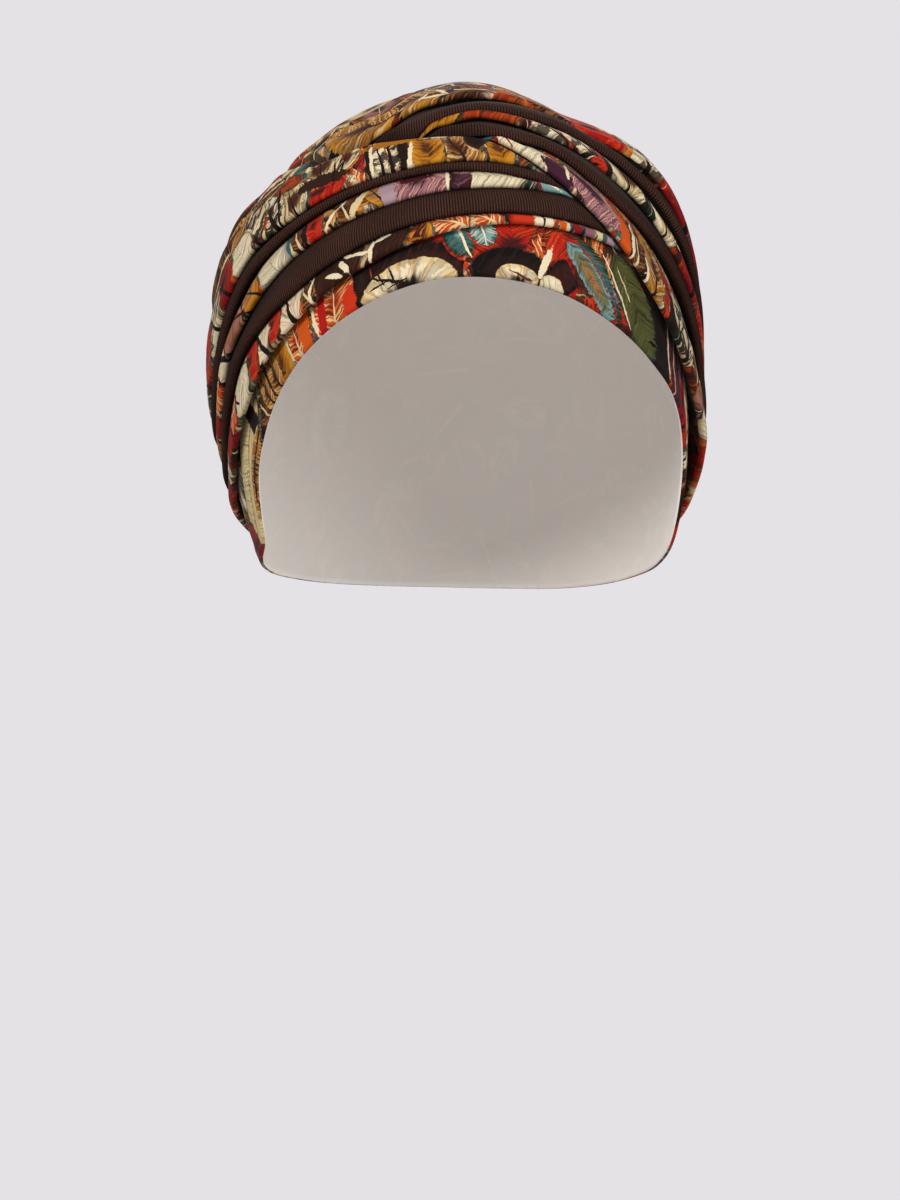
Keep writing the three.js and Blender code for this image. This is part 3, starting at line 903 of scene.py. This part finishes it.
def makePleat(name, p):
    wound, along = sectionPlaces(p)
    lower = foldLine(wound, p["from"])
    upper = foldLine(wound, p["to"])
    width = np.maximum((upper - lower) * mmPerDegree, cloth["narrowest"])[:, None]
    lift = columnAt(winding, "wound", "lift", wound)
    crest = columnAt(winding, "wound", "crest", wound)
    shoulder = columnAt(winding, "wound", "shoulder", wound)[:, None]
    swaying, period = cloth["sway"]
    stand = (lift + (crest - lift) * p["toCrest"]) * (1 + swaying * sway(wound, p["seed"], period))
    toEnd = np.minimum(wound - wound[0], wound[-1] - wound)
    endEase = np.sqrt(np.clip(toEnd / cloth["endTaper"], 0, 1))
    stand = (1.0 + (stand - 1.0) * endEase)[:, None]
    crown = p["to"] == "end"
    atFront = np.zeros_like(stand)
    if crown:
        atFront = (1 - smoothStep(*crownLay["behindFrom"], wound))[:, None]

    # a section: under the fold, round its nose, over to the upper edge, the tail and back
    thin = np.minimum(cloth["noseRadius"], stand * cloth["noseShare"])
    nose = np.minimum(thin, width * cloth["noseShare"])
    share = np.array(section["under"])[None, :]
    under = nose + np.minimum(cloth["undercut"], width * 0.5) * share
    underHeight = cloth["base"] + (stand - 2 * nose - cloth["base"]) * (1 - share) ** 1.3
    turn = np.radians(section["nose"])[None, :]
    nosed = nose * (1 - np.cos(turn))
    noseHeight = stand - nose + nose * np.sin(turn)
    t = np.linspace(0, 1, p["columns"])[None, :]
    over = nose + (width - nose) * t
    if crown:
        overHeight = crownHeights(t[0], stand, shoulder, atFront, wound[:, None])
        overlap, leastOverlap = crownLay["overlap"]
        reach = overlap * (1 - atFront) + leastOverlap
        endHeight = crownLay["tailHeight"]
    else:
        drop = smoothStep(0.1, 1.0, t)
        swell = p["arch"] * np.sin(math.pi * t) * np.minimum(width / cloth["fullWidth"], 1)
        overHeight = stand * (1 - cloth["flattening"] * drop) + swell
        reach = cloth["overlap"]
        endHeight = cloth["tailHeight"]
    tuck = np.array(section["tail"])[None, :]
    tail = width + reach * tuck
    tailHeight = overHeight[:, -1:] + (endHeight - overHeight[:, -1:]) * tuck
    share = np.array(section["back"])[None, :]
    back = under[:, :1] + (tail[:, -1:] - under[:, :1]) * share
    backHeight = np.full_like(back, cloth["base"] * cloth["baseShare"])

    across = np.concatenate([under, nosed, over, tail, back], axis=1)
    height = np.concatenate([underHeight, noseHeight, overHeight, tailHeight, backHeight], axis=1)
    noseFrom = under.shape[1]
    overFrom = noseFrom + nosed.shape[1]
    tailFrom = overFrom + over.shape[1]
    noseTop = noseFrom + len(paintedFoldShade["nose"])
    above = lower[:, None] + across / mmPerDegree
    woundAll = np.broadcast_to(wound[:, None], above.shape)

    # cloth dips where it goes under the fold that crosses it
    tuckOver = (cloth["tuckStart"], cloth["tuckReach"])
    toFold = (columnAt(winding, "wound", "low", woundAll + 360) - above) * mmPerDegree
    dip = np.where(woundAll < cloth["tuckBefore"], smoothStep(*tuckOver, toFold), 1.0)
    pastEdge = (above - columnAt(winding, "wound", "end", woundAll - 360)) * mmPerDegree
    late = smoothStep(*cloth["tuckAfter"], woundAll)
    dip = dip * (1 - late * (1 - smoothStep(*tuckOver, pastEdge)))
    least = np.minimum(height, cloth["base"] + cloth["tuckedHeight"])
    height = least + (height - least) * dip
    if not p["rib"]:
        quick = np.sin(ripple["along"] * along[:, None] + ripple["across"] * across + p["seed"])
        slow = np.sin(ripple["slow"] * along[:, None] + p["seed"])
        outside = np.zeros(across.shape[1])
        outside[noseFrom + 2:tailFrom - 3] = 1
        rippled = ripple["height"] * quick * slow * outside * dip
        height = height + rippled * np.minimum(width / ripple["fullWidth"], 1)
    rings = overHead(-woundAll, above, cloth["capWall"] + height)

    # painted shade: the colour is darkened under and round each fold, by its upper edge and where it dips
    # under a crossing fold
    shade = np.ones_like(height)
    shade[:, :noseFrom] = paintedFoldShade["under"]
    shade[:, noseFrom:noseTop] = paintedFoldShade["nose"]
    toEdge = smoothStep(*paintedFoldShade["edgeReach"], width - over)
    shade[:, overFrom:tailFrom] = paintedFoldShade["edge"] + (1 - paintedFoldShade["edge"]) * toEdge
    shade[:, tailFrom:] = paintedFoldShade["tail"]
    if crown:
        shade[:, overFrom:] += (1 - shade[:, overFrom:]) * paintedFoldShade["crownLift"]
    shade = shade * (paintedFoldShade["tucked"] + (1 - paintedFoldShade["tucked"]) * dip)

    printed = across.copy()
    printed[:, :noseTop] *= -1      # the print runs on round the fold and under it
    crownPrint = crownPrintAt(woundAll, above)[:, ::-1] if crown else None
    piece = closedSkin(name, rings[:, ::-1], along, printed[:, ::-1], crownPrint)
    addAttribute(piece, "shade", shade[:, ::-1])
    if p["rib"]:
        wave = np.where(np.arange(len(wound)) % 2, -1.0, 1.0)[:, None]
        shown = np.zeros(across.shape[1])
        shown[1:tailFrom] = 1
        wave = wave * shown * np.minimum(endEase[:, None] * 2, 1)
        addAttribute(piece, "ribWave", wave[:, ::-1])
    return piece, wound, along


def makeRibbingTree():
    inputs = (("Geometry", "NodeSocketGeometry", None), ("Depth", "NodeSocketFloat", 0.0),
              ("Finish", "NodeSocketMaterial", None))
    outputs = (("Geometry", "NodeSocketGeometry"),)
    tree, enter = newGroup("ribbing", inputs, outputs, "GeometryNodeTree")
    wave = addNode(tree, "GeometryNodeInputNamedAttribute", data_type="FLOAT")
    wave.inputs["Name"].default_value = "ribWave"
    push = doMath(tree, "MULTIPLY", wave.outputs[0], enter["Depth"])
    normal = addNode(tree, "GeometryNodeInputNormal").outputs[0]
    shift = doVector(tree, "SCALE", normal, scale=push)
    move = addNode(tree, "GeometryNodeSetPosition")
    feed(tree, move.inputs["Geometry"], enter["Geometry"])
    feed(tree, move.inputs["Offset"], shift)
    real = addNode(tree, "GeometryNodeRealizeInstances")
    feed(tree, real.inputs[0], move.outputs[0])
    finish = addNode(tree, "GeometryNodeSetMaterial")
    feed(tree, finish.inputs["Geometry"], real.outputs[0])
    feed(tree, finish.inputs["Material"], enter["Finish"])
    leave = addNode(tree, "NodeGroupOutput")
    feed(tree, leave.inputs[0], finish.outputs[0])
    return tree


def runRibbing(piece, tree, material):
    modifier = piece.modifiers.new("ribbing", "NODES")
    modifier.node_group = tree
    named = {item.name: item.identifier for item in tree.interface.items_tree
             if item.in_out == "INPUT"}
    modifier[named["Depth"]] = cloth["ribDepth"] * mm
    modifier[named["Finish"]] = material
    graph = bpy.context.evaluated_depsgraph_get()
    result = bpy.data.meshes.new_from_object(piece.evaluated_get(graph), depsgraph=graph)
    piece.modifiers.remove(modifier)
    plain = piece.data
    piece.data = result
    bpy.data.meshes.remove(plain)


clothFinish = {
    "sheenRoughness": 0.5,
    "specular": 0.12,
    "bumpHeight": 0.0001,
}

# ribbed jersey: its brown dye, with painted shade near black in the rib valleys and a painted highlight on
# the ridges
ribFinish = {
    "valleyShade": (0.004, 0.0014, 0.0010, 1),
    "ridge": (0.110, 0.043, 0.027, 1),
    "roughness": 0.85,
    "sheen": 0.04,
    "sheenTint": (0.8, 0.6, 0.5, 1),
    "fuzzNoise": (1.3, 3.0, 0.6),     # scale, detail, roughness, here and below
    "blotchNoise": (0.05, 2.0, 0.5),
    "fuzz": (0.9, 0.2),           # how much fuzz and then slow blotches lighten the ribs
    "blotches": (0.6, 0.6),
    "coursePitch": 0.7,           # mm between courses of the knit
    "courseShare": 0.3,
    "bump": 0.5,
}

# printed jersey
printFinish = {
    "roughness": 0.75,
    "sheen": 0.02,
    "wobbleNoise": (0.25, 2.0, 0.5),
    "wobble": (1.2, -0.6),        # how far, in mm, the print wanders on the cloth
    "wanderNoise": (0.22, 2.0, 0.6),
    "edgeNoise": (0.6, 2.0, 0.6),
    "roughEdge": (1.6, -0.8),     # how rough the strokes' edges are
    "knitNoise": (2.2, 2.0, 0.7),
    "knit": (0.5, 0.75),          # how much the knit darkens the print
    "wrongSide": (0.97, 0.93, 0.87, 1),
    "wrongSidePale": 0.94,
    "bump": 0.35,
}


def clothPlace(tree):
    # place on the cloth, in millimetres
    uv = addNode(tree, "ShaderNodeUVMap", uv_map="clothMap")
    return doVector(tree, "SCALE", uv.outputs[0], scale=1 / mm)


def startMaterial(name, look):
    material = bpy.data.materials.new(name)
    material.use_nodes = True
    tree = material.node_tree
    shader = tree.nodes["Principled BSDF"]
    shader.inputs["Roughness"].default_value = look["roughness"]
    shader.inputs["Sheen Weight"].default_value = look["sheen"]
    shader.inputs["Sheen Roughness"].default_value = clothFinish["sheenRoughness"]
    shader.inputs["Sheen Tint"].default_value = look.get("sheenTint", (1, 1, 1, 1))
    shader.inputs["Specular IOR Level"].default_value = clothFinish["specular"]
    return material, tree, shader


def addBump(tree, shader, strength, height):
    bump = addNode(tree, "ShaderNodeBump")
    bump.inputs["Strength"].default_value = strength
    bump.inputs["Distance"].default_value = clothFinish["bumpHeight"]
    feed(tree, bump.inputs["Height"], height)
    feed(tree, shader.inputs["Normal"], bump.outputs[0])


def paintFoldShade(tree, color):
    # painted shade: multiplies the colour by the shade attribute, darkest in and under the folds
    shade = addNode(tree, "ShaderNodeAttribute", attribute_name="shade").outputs["Fac"]
    return blendColor(tree, 1.0, color, combine(tree, shade, shade, shade), "MULTIPLY")


def makeRibMaterial():
    look = ribFinish
    material, tree, shader = startMaterial("ribbedJersey", look)
    place = clothPlace(tree)
    ribTurn = 2 * math.pi / cloth["ribPitch"]
    along = doMath(tree, "MULTIPLY", part(tree, place, (1, 0, 0)), ribTurn)
    # painted shade and highlight: once per rib the colour runs from the dark valley to the lit ridge
    ridge = doMath(tree, "MULTIPLY_ADD", doMath(tree, "COSINE", along), 0.5, 0.5)
    fuzz = noise(tree, place, *look["fuzzNoise"])
    wide = noise(tree, place, *look["blotchNoise"])
    light = doMath(tree, "MULTIPLY", ridge, doMath(tree, "MULTIPLY_ADD", fuzz, *look["fuzz"]))
    light = doMath(tree, "MULTIPLY", light, doMath(tree, "MULTIPLY_ADD", wide, *look["blotches"]))
    color = blendColor(tree, light, look["valleyShade"], look["ridge"])
    color = paintFoldShade(tree, color)
    feed(tree, shader.inputs["Base Color"], color)
    courseTurn = 2 * math.pi / look["coursePitch"]
    courses = doMath(tree, "MULTIPLY", part(tree, place, (0, 1, 0)), courseTurn)
    courses = doMath(tree, "SINE", courses)
    addBump(tree, shader, look["bump"],
            doMath(tree, "MULTIPLY_ADD", courses, look["courseShare"], fuzz))
    return material


def makePrintMaterial(name, chart, alongAt, foldShadePainted=False, pale=0.0):
    look = printFinish
    material, tree, shader = startMaterial(name, look)
    place = clothPlace(tree)
    wobble = noise(tree, place, *look["wobbleNoise"])
    wobble = doMath(tree, "MULTIPLY_ADD", wobble, *look["wobble"])
    placed = doVector(tree, "ADD", place, combine(tree, wobble, wobble))
    wander = noise(tree, place, *look["wanderNoise"])
    rough = noise(tree, place, *look["edgeNoise"])
    rough = doMath(tree, "MULTIPLY_ADD", rough, *look["roughEdge"])
    color = useGroup(tree, plumageGroup, Place=placed, Wander=wander)[0]
    for layer in chart:
        feathers = [row for row in layer if row[5] in kinds]
        color = layFeathers(tree, color, placed, wander, feathers, alongAt)
        for at, up, turn, length, width, dyed, *bend in layer:
            if dyed not in kinds:
                middle = (float(alongAt(at)), up, 0)
                color = layStroke(tree, color, placed, rough, middle, turn, length, width, dyed, *bend)
    knit = noise(tree, place, *look["knitNoise"])
    tone = doMath(tree, "MULTIPLY_ADD", knit, *look["knit"])
    color = blendColor(tree, 1.0, color, combine(tree, tone, tone, tone), "MULTIPLY")
    if foldShadePainted:
        color = paintFoldShade(tree, color)
    if pale:
        color = blendColor(tree, pale, color, look["wrongSide"])
    feed(tree, shader.inputs["Base Color"], color)
    addBump(tree, shader, look["bump"], knit)
    return material


# where the motifs lie, in layers: degrees wound (round the head, on the cap), millimetres up, turn,
# length, width, kind of feather or dye of a stroke, bend of a stroke; later rows lie on top, and
# each layer's strokes lie on its feathers
capChart = (
    (
        (-14, 11, 90, 24, 36, "redFringe"), (4, 12, 90, 22, 32, "redFringe"),
        (14, 13, 60, 22, 18, "orangeBarb"), (-36, 7, 85, 26, 22, "orangeBarb"),
        (-49, 7, 100, 24, 16, "orangeBarb"), (-56, 6, 105, 24, 12, "goldPlain"),
        (-70, 6, 110, 30, 14, "brownStreak"), (-94, 8, 190, 70, 28, "strawPlume"),
        (-115, 4, 180, 20, 18, "crimsonPlume"), (19, 8, -60, 34, 20, "redFringe"),
        (34, 1, 0, 44, 10, "redFringe"), (47, 8, -60, 40, 18, "blackPlume"),
        (60, 12, -50, 44, 22, "plumDark"), (74, 8, -45, 40, 14, "redFringe"),
        (90, 8, -45, 26, 14, "blackPlume"), (99, 8, -40, 34, 14, "redFringe"),
    ),
    (
        (-18, 1.5, 0, 47, 25, "maroonPlume"), (4.5, 2.2, 0, 30, 18, "sootPlume"),
        (-28.6, 7, 85, 26, 7, "sootPlume"), (-7, 15, -75, 17, 10, "tealPlume"),
        (-2, 17, -80, 12, 9, "paleBlue"), (14.5, 5, 50, 20, 10, "maroonPlume"),
        (-60, 6, 105, 24, 9, "goldBarb"), (-65.5, 6, 108, 22, 8, "goldBarb"),
        (-77, 9, 112, 30, 8, "blackPlume"), (-87, 1.5, 185, 38, 7, "goldBarb"),
        (23, 11, -45, 30, 15, "tealPlume"), (36, 11.5, -48, 38, 19, "olivePlume"),
        (41, 22, -30, 26, 7, "sootPlume"), (66, 5, -50, 24, 9, "crimsonPlume"),
        (69, 15, -40, 34, 9, "whitePlume"), (80, 2, -45, 14, 8, "barredCream"),
        (-39.8, 6, 88, 22, 4, "red"), (-32, 3, 85, 14, 6, "vermilion"), (-45.8, 7, 95, 20, 6, "orange"),
        (58, 18, -45, 28, 6, "mauve"), (22.0, 9.8, -46, 27, 9, "sagePlume"),
    ),
    (
        (-18.5, 0.5, 90, 17, 34, "creamFan"), (4.8, 0.3, 90, 10.5, 15, "creamFan"),
        (12.2, 0, 50, 9, 9, "whitePlume"), (10.8, 8.5, 68, 14, 2.4, "ivory"),
        (-6.3, 14, -72, 16, 1.0, "ivory"), (-42.3, 7, 97, 18, 1.8, "ivory"),
        (-22, 3.6, 153, 17, 1.1, "soot"), (-24.2, 6, 112, 6, 0.8, "soot"),
        (-21.6, 5.6, 105, 6, 0.8, "soot"), (-25, 3.4, 188, 7, 0.7, "soot"),
        (-20.4, 2, 190, 7, 0.7, "soot"), (5.4, 1.8, 160, 8, 0.9, "brown"),
        (-52, 6, 105, 15, 1.0, "cream"), (-63, 6, 105, 20, 1.4, "darkBrown"),
        (-100, 8, 200, 24, 0.9, "brown"), (29.2, 12.5, -55, 28, 1.0, "ivory"),
        (31, 16, -52, 12, 0.8, "cream"), (45, 8, 10, 6, 1.8, "black"), (43, 5, 10, 6, 1.5, "black"),
        (51.5, 10, -66, 20, 1.3, "ivory", 1.5), (56.5, 8, -62, 22, 1.3, "pink", 1.5),
    ),
)

lowChart = (
    (-26, 2, 80, 9, 4, "lilac"), (-23, 3, 80, 9, 3, "cream"), (-20.5, 3, 80, 11, 4.5, "mauve"),
    (-17.5, 3, 80, 10, 4, "crimson"), (-15.3, 3, 80, 9, 2, "cream"), (-14, 3, 70, 9, 3, "orange"),
    (-12.6, 3, 80, 9, 2, "rust"), (-10.2, 3, 90, 9, 9, "ivory"), (-10.4, 3, 90, 10, 0.9, "soot"),
    (-6.3, 3, 85, 10, 8, "vermilion"), (-2.5, 3, 60, 14, 9, "redFringe"),
    (3, 3.5, 30, 22, 10, "orangeBarb"), (9.5, 4, 30, 20, 10, "orangeBarb"),
    (15.5, 4, 60, 15, 11, "maroonGold"), (25, 5, 0, 30, 16, "darkWavy"), (35, 6, 0, 30, 18, "darkWavy"),
    (22.5, 6.5, 0, 8, 1.8, "ivory"), (25, 3.5, 105, 8, 1.9, "ivory"), (28.5, 5.5, 25, 12, 1.9, "ivory"),
    (31.5, 4, 60, 9, 2.3, "ivory"), (34, 2.6, 30, 8, 1.9, "ivory"),
    (40.3, 5.5, 100, 13, 1.5, "ivory", 1.0), (42.5, 6, 60, 16, 8, "brownStreak"),
    (48, 7, 70, 20, 15, "whiteFan"), (54.5, 8, 60, 15, 11, "redFringe"),
    (59.8, 8, 60, 17, 13, "whiteFan"), (65.5, 8, 60, 17, 13, "redFringe"),
    (75, 8, 20, 26, 17, "whitePlume"), (77, 6, 50, 9, 1.2, "soot"), (84.5, 8, 20, 20, 13, "orangeBarb"),
    (92, 8, 20, 22, 14, "crimsonPlume"), (102, 6, 0, 22, 12, "barredCream"),
    (112, 6, 0, 24, 13, "crimsonPlume"), (122, 6, 0, 22, 13, "orangeBarb"),
    (270, 8, 20, 26, 16, "crimsonPlume"), (281, 8, 20, 26, 16, "whitePlume"),
    (291, 8, 30, 22, 15, "rosePlume"), (298, 8, 40, 18, 13, "brownStreak"),
    (305, 9, 70, 22, 18, "zebra"), (308.5, 13, 20, 10, 4, "teal"), (316, 9, 80, 19, 10, "redFringe"),
    (313, 4, 80, 12, 8, "blackPlume"), (311, 9, 80, 13, 9, "barredCream"),
    (321.5, 9, 80, 24, 13, "goldBarb"), (327, 6, 90, 24, 9, "brownStreak"),
    (330.5, 5, 90, 18, 6, "orange"), (337.5, 7, 0, 28, 15, "mauveComb"), (339, 9.5, 0, 18, 6, "plum"),
    (328, 8, 97, 19, 1.6, "ivory"), (324, 3, 80, 10, 1.4, "ivory"),
    (351.5, 3.5, 0, 24, 14, "whitePlume"), (345.5, 2.5, 0, 13, 9, "plum"),
    (343.3, 6, 100, 10, 1.5, "ivory"), (360.5, 1.5, 0, 9, 5, "teal"),
    (357.5, 1.5, 60, 6, 0.9, "crimson"), (355.5, 2, 40, 7, 0.8, "crimson"),
)

midChart = (
    (-14.5, 1.5, 0, 14, 6, "paleTeal"), (-13, 1.5, 20, 8, 0.8, "ivory"), (0, 4, 0, 26, 14, "whitePlume"),
    (-9.8, 2.5, 60, 7, 1.2, "crimson"), (-8, 4, 50, 7, 0.9, "crimson"),
    (-5.5, 5.5, 20, 6, 0.7, "crimson"), (6.3, 5, 90, 15, 9, "plumDark"), (5, 8.5, 0, 9, 4, "mauveComb"),
    (14.5, 5, 0, 24, 16, "mauveComb"), (14.5, 7.5, 0, 13, 4, "maroon"), (8.3, 5, 92, 15, 1.5, "ivory"),
    (20.5, 5, 80, 15, 6, "lilac"), (23.2, 6, 60, 13, 7, "tanLeaf"), (30.3, 5, 70, 16, 10, "brownStreak"),
    (27, 5, 115, 14, 4, "cream"), (35, 5, 60, 13, 9, "goldBarb"), (32.8, 5, 128, 14, 1.7, "ivory"),
    (38.2, 6, 75, 16, 8, "redFringe"), (40.8, 6, 80, 16, 2.5, "soot"),
    (43.3, 7, 70, 16, 7, "brownStreak"), (52, 7, 60, 34, 18, "greyLined"), (46, 8, 75, 18, 2.2, "teal"),
    (62, 7, 40, 22, 12, "tanLeaf"), (71.5, 6, 20, 24, 16, "rosePlume"),
    (81.5, 6, 40, 18, 14, "whiteFan"), (91, 5, 20, 20, 12, "orangeBarb"),
    (100, 5, 10, 18, 12, "crimsonPlume"), (110, 5, 10, 20, 12, "goldBarb"),
    (295, 6, 20, 22, 14, "redFringe"), (306, 6, 40, 26, 14, "crimsonPlume"),
    (303.5, 5, 60, 15, 3, "soot"), (315.5, 6, 80, 17, 17, "barredFan"),
    (325, 6, 90, 18, 20, "barredFan"), (320.5, 6, 90, 15, 1.8, "soot"),
    (333.5, 5, 30, 13, 10, "redFringe"), (330.3, 5, 80, 12, 3.5, "soot"),
    (346, 4, 20, 21, 9, "barredCream"), (338.5, 5, 20, 15, 9, "barredCream"),
    (358.5, 2.5, 0, 28, 8, "rustPlume"), (369, 2, 0, 18, 6, "goldPlain"),
)

highChart = (
    (-11.5, 4, 10, 17, 10, "mauveComb"), (-6.5, 5, 10, 16, 12, "brownStreak"),
    (-2.5, 5, 70, 15, 13, "goldPlain"), (6, 5, 60, 28, 16, "goldBarb"), (12, 6, 80, 20, 12, "goldPlain"),
    (2, 10.5, 80, 13, 8, "blackPlume"), (8, 13.5, 0, 22, 6, "barredCream"),
    (17, 13.5, 0, 30, 5, "mustard"), (17.6, 5, 90, 18, 7, "blackPlume"), (19.6, 5, 85, 16, 6, "zebra"),
    (15.4, 4, 95, 14, 1.7, "ivory"), (21.8, 7, 80, 20, 5, "barredCream"),
    (25.2, 7, 85, 22, 5, "blackPlume"), (23.7, 7, 85, 18, 1.5, "ivory"),
    (28, 10, 80, 22, 8, "crimsonPlume"), (30, 3, 30, 18, 9, "orangeBarb"),
    (36.5, 3, 0, 26, 8, "redFringe"), (36, 7.5, 10, 24, 6, "darkBrown"),
    (43, 10, 20, 18, 8, "orangeBarb"), (30, 14, 100, 15, 11, "barredFan"),
    (36.5, 14.5, 80, 17, 18, "barredFan"), (32.6, 8, 92, 13, 1.1, "soot"),
    (44.5, 6, 70, 20, 15, "barredFan"), (53, 9, 60, 28, 17, "zebra"), (49, 8, 82, 22, 1.4, "soot"),
    (64.5, 14, 50, 36, 24, "zebra"), (64.5, 5, 60, 20, 13, "whitePlume"),
    (50, 20, 20, 28, 8, "rustPlume"), (58, 23, 0, 26, 8, "brownStreak"),
    (76, 9, 60, 26, 16, "crimsonPlume"), (72, 25, 20, 26, 14, "goldBarb"),
    (85, 10, 60, 30, 18, "barredCream"), (96, 12, 40, 28, 20, "redFringe"),
    (84, 26, 20, 30, 16, "brownStreak"), (106, 12, 40, 26, 18, "barredCream"),
    (300, 8, 20, 26, 18, "crimsonPlume"), (309, 6, 40, 22, 16, "crimsonPlume"),
    (318, 6, 60, 20, 16, "barredCream"), (327, 6, 40, 22, 15, "redFringe"),
    (349, 5, 10, 24, 11, "goldBarb"), (340, 5, 10, 20, 11, "brownStreak"),
    (357, 5, 20, 24, 12, "rustPlume"), (366, 6, 15, 26, 13, "brownStreak"),
    (376, 6, 5, 26, 14, "goldBarb"), (351, 9, 10, 22, 7, "rustPlume"), (388, 8, 20, 30, 18, "goldBarb"),
    (345, 9, 0, 16, 6, "goldPlain"), (369.5, 3, 10, 9, 1.6, "ivory"), (367.5, 6, 60, 7, 1.3, "ivory"),
    (372, 5, 120, 6, 1.0, "ivory"),
)

charts = {"printPleatLow": (lowChart,), "printPleatMid": (midChart,), "printPleatHigh": (highChart,)}

ribMaterial = makeRibMaterial()
ribbing = makeRibbingTree()
for name, p in pleats.items():
    piece, wound, along = makePleat(name, p)
    if p["rib"]:
        runRibbing(piece, ribbing, ribMaterial)
    else:
        piece.data.materials.append(makePrintMaterial(
            name + "Cloth", charts[name], lambda at: np.interp(at, wound, along), foldShadePainted=True))
    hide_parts(p["node"])
    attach(piece, "root")
    print("pleat made:", name, len(piece.data.polygons), "faces")


capShape = {
    "rings": 60,
    "rimRings": 5,
    "rimShare": 0.015,        # share of the height that the rim's own rings take
    "firstShare": 0.03,
    "rimRoll": 1.2,
    "roundStep": 2.0,
    "hemWidth": 6.5,
    "hemRise": 0.45,
    "hemSoft": 0.8,
    "top": 88.8,
    "alongPerDegree": 1.6,    # mm of cloth for each degree round the head
}


def capAlong(at):
    return (at + 180) * capShape["alongPerDegree"]


def makeCap(shape):
    around = np.arange(0, 360, shape["roundStep"])
    signed = np.where(around > 180, around - 360, around)
    low = columnAt(rim, "round", "rim", signed)
    share = np.concatenate([np.linspace(0, shape["rimShare"], shape["rimRings"]),
                            np.linspace(shape["firstShare"], 1, shape["rings"])])
    half = cloth["capWall"] / 2
    hemFrom, hemTo = shape["hemWidth"] - shape["hemSoft"], shape["hemWidth"] + shape["hemSoft"]
    outer, inner, ups = [], [], []
    for s in share:
        above = low + (shape["top"] - low) * s
        up = (above - low) * mmPerDegree
        hem = shape["hemRise"] * (1 - smoothStep(hemFrom, hemTo, up))
        roll = np.sqrt(np.clip(1 - (1 - np.clip(up / shape["rimRoll"], 0, 1)) ** 2, 0.0, 1))
        outer.append(overHead(signed, above, half + (half + hem) * roll))
        inner.append(overHead(signed, above, half - half * roll))
        ups.append(up)
    rings = np.array(inner[:0:-1] + outer)
    across = np.array(ups[:0:-1] + ups)
    along = np.broadcast_to(capAlong(signed), across.shape)
    above = low + (shape["top"] - low) * np.concatenate([share[:0:-1], share])[:, None]
    piece = closedSkin("printCap", rings, along, across, crownPrintAt(-signed, above))
    inside = np.zeros(len(piece.data.polygons), np.int32)
    size = len(around)
    inside[:size * (len(share) - 1)] = 1
    inside[size * (len(rings) - 1):size * len(rings)] = 1
    return piece, inside


cap, insideFaces = makeCap(capShape)
cap.data.materials.append(makePrintMaterial("printCapCloth", capChart, capAlong))
cap.data.materials.append(
    makePrintMaterial("wrongSide", (), capAlong, pale=printFinish["wrongSidePale"]))
cap.data.polygons.foreach_set("material_index", insideFaces)
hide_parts("cap")
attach(cap, "root")
print("cap made")


def softGlow(tree, s):
    # the backdrop lights the cloth less than the camera sees it
    seen = addNode(tree, "ShaderNodeLightPath").outputs["Is Camera Ray"]
    return mixValue(tree, seen, s["softLight"], s["surround"])


def makeFloor(s):
    angles = np.linspace(0, 2 * math.pi, s["floorSides"] + 1)[:-1]
    edge = np.stack([np.cos(angles), np.sin(angles)], -1) * s["floorRadius"]
    data = bpy.data.meshes.new("floor")
    data.from_pydata([(x, y, s["floorHeight"]) for x, y in edge], [], [tuple(range(len(edge)))])
    floor = bpy.data.objects.new("floor", data)
    bpy.context.scene.collection.objects.link(floor)
    material = bpy.data.materials.new("paleFloor")
    material.use_nodes = True
    tree = material.node_tree
    tree.nodes.clear()
    spot = addNode(tree, "ShaderNodeTexCoord").outputs["Object"]
    flat = doVector(tree, "MULTIPLY", spot, (1, 1, 0))
    far = ease(tree, doVector(tree, "LENGTH", flat), s["fadeFrom"], s["fadeTo"])
    near = addNode(tree, "ShaderNodeBsdfDiffuse")
    near.inputs["Color"].default_value = (*s["floorColor"], 1)
    glow = addNode(tree, "ShaderNodeEmission")
    glow.inputs["Color"].default_value = (*s["paper"], 1)
    feed(tree, glow.inputs["Strength"], softGlow(tree, s))
    both = addNode(tree, "ShaderNodeMixShader")
    feed(tree, both.inputs[0], far)
    feed(tree, both.inputs[1], near.outputs[0])
    feed(tree, both.inputs[2], glow.outputs[0])
    leave = addNode(tree, "ShaderNodeOutputMaterial")
    feed(tree, leave.inputs[0], both.outputs[0])
    data.materials.append(material)


def makeStudio(s):
    scene = bpy.context.scene
    world = bpy.data.worlds.new("studioAir")
    scene.world = world
    world.use_nodes = True
    air = world.node_tree.nodes["Background"]
    air.inputs["Color"].default_value = (*s["paper"], 1)
    feed(world.node_tree, air.inputs["Strength"], softGlow(world.node_tree, s))
    scene.view_settings.view_transform = "Standard"
    for name, (place, size, power, tint) in lamps.items():
        makeLamp(name, place, size, power, tint)
    makeFloor(s)


makeCamera(studio)
makeStudio(studio)
print("studio made")
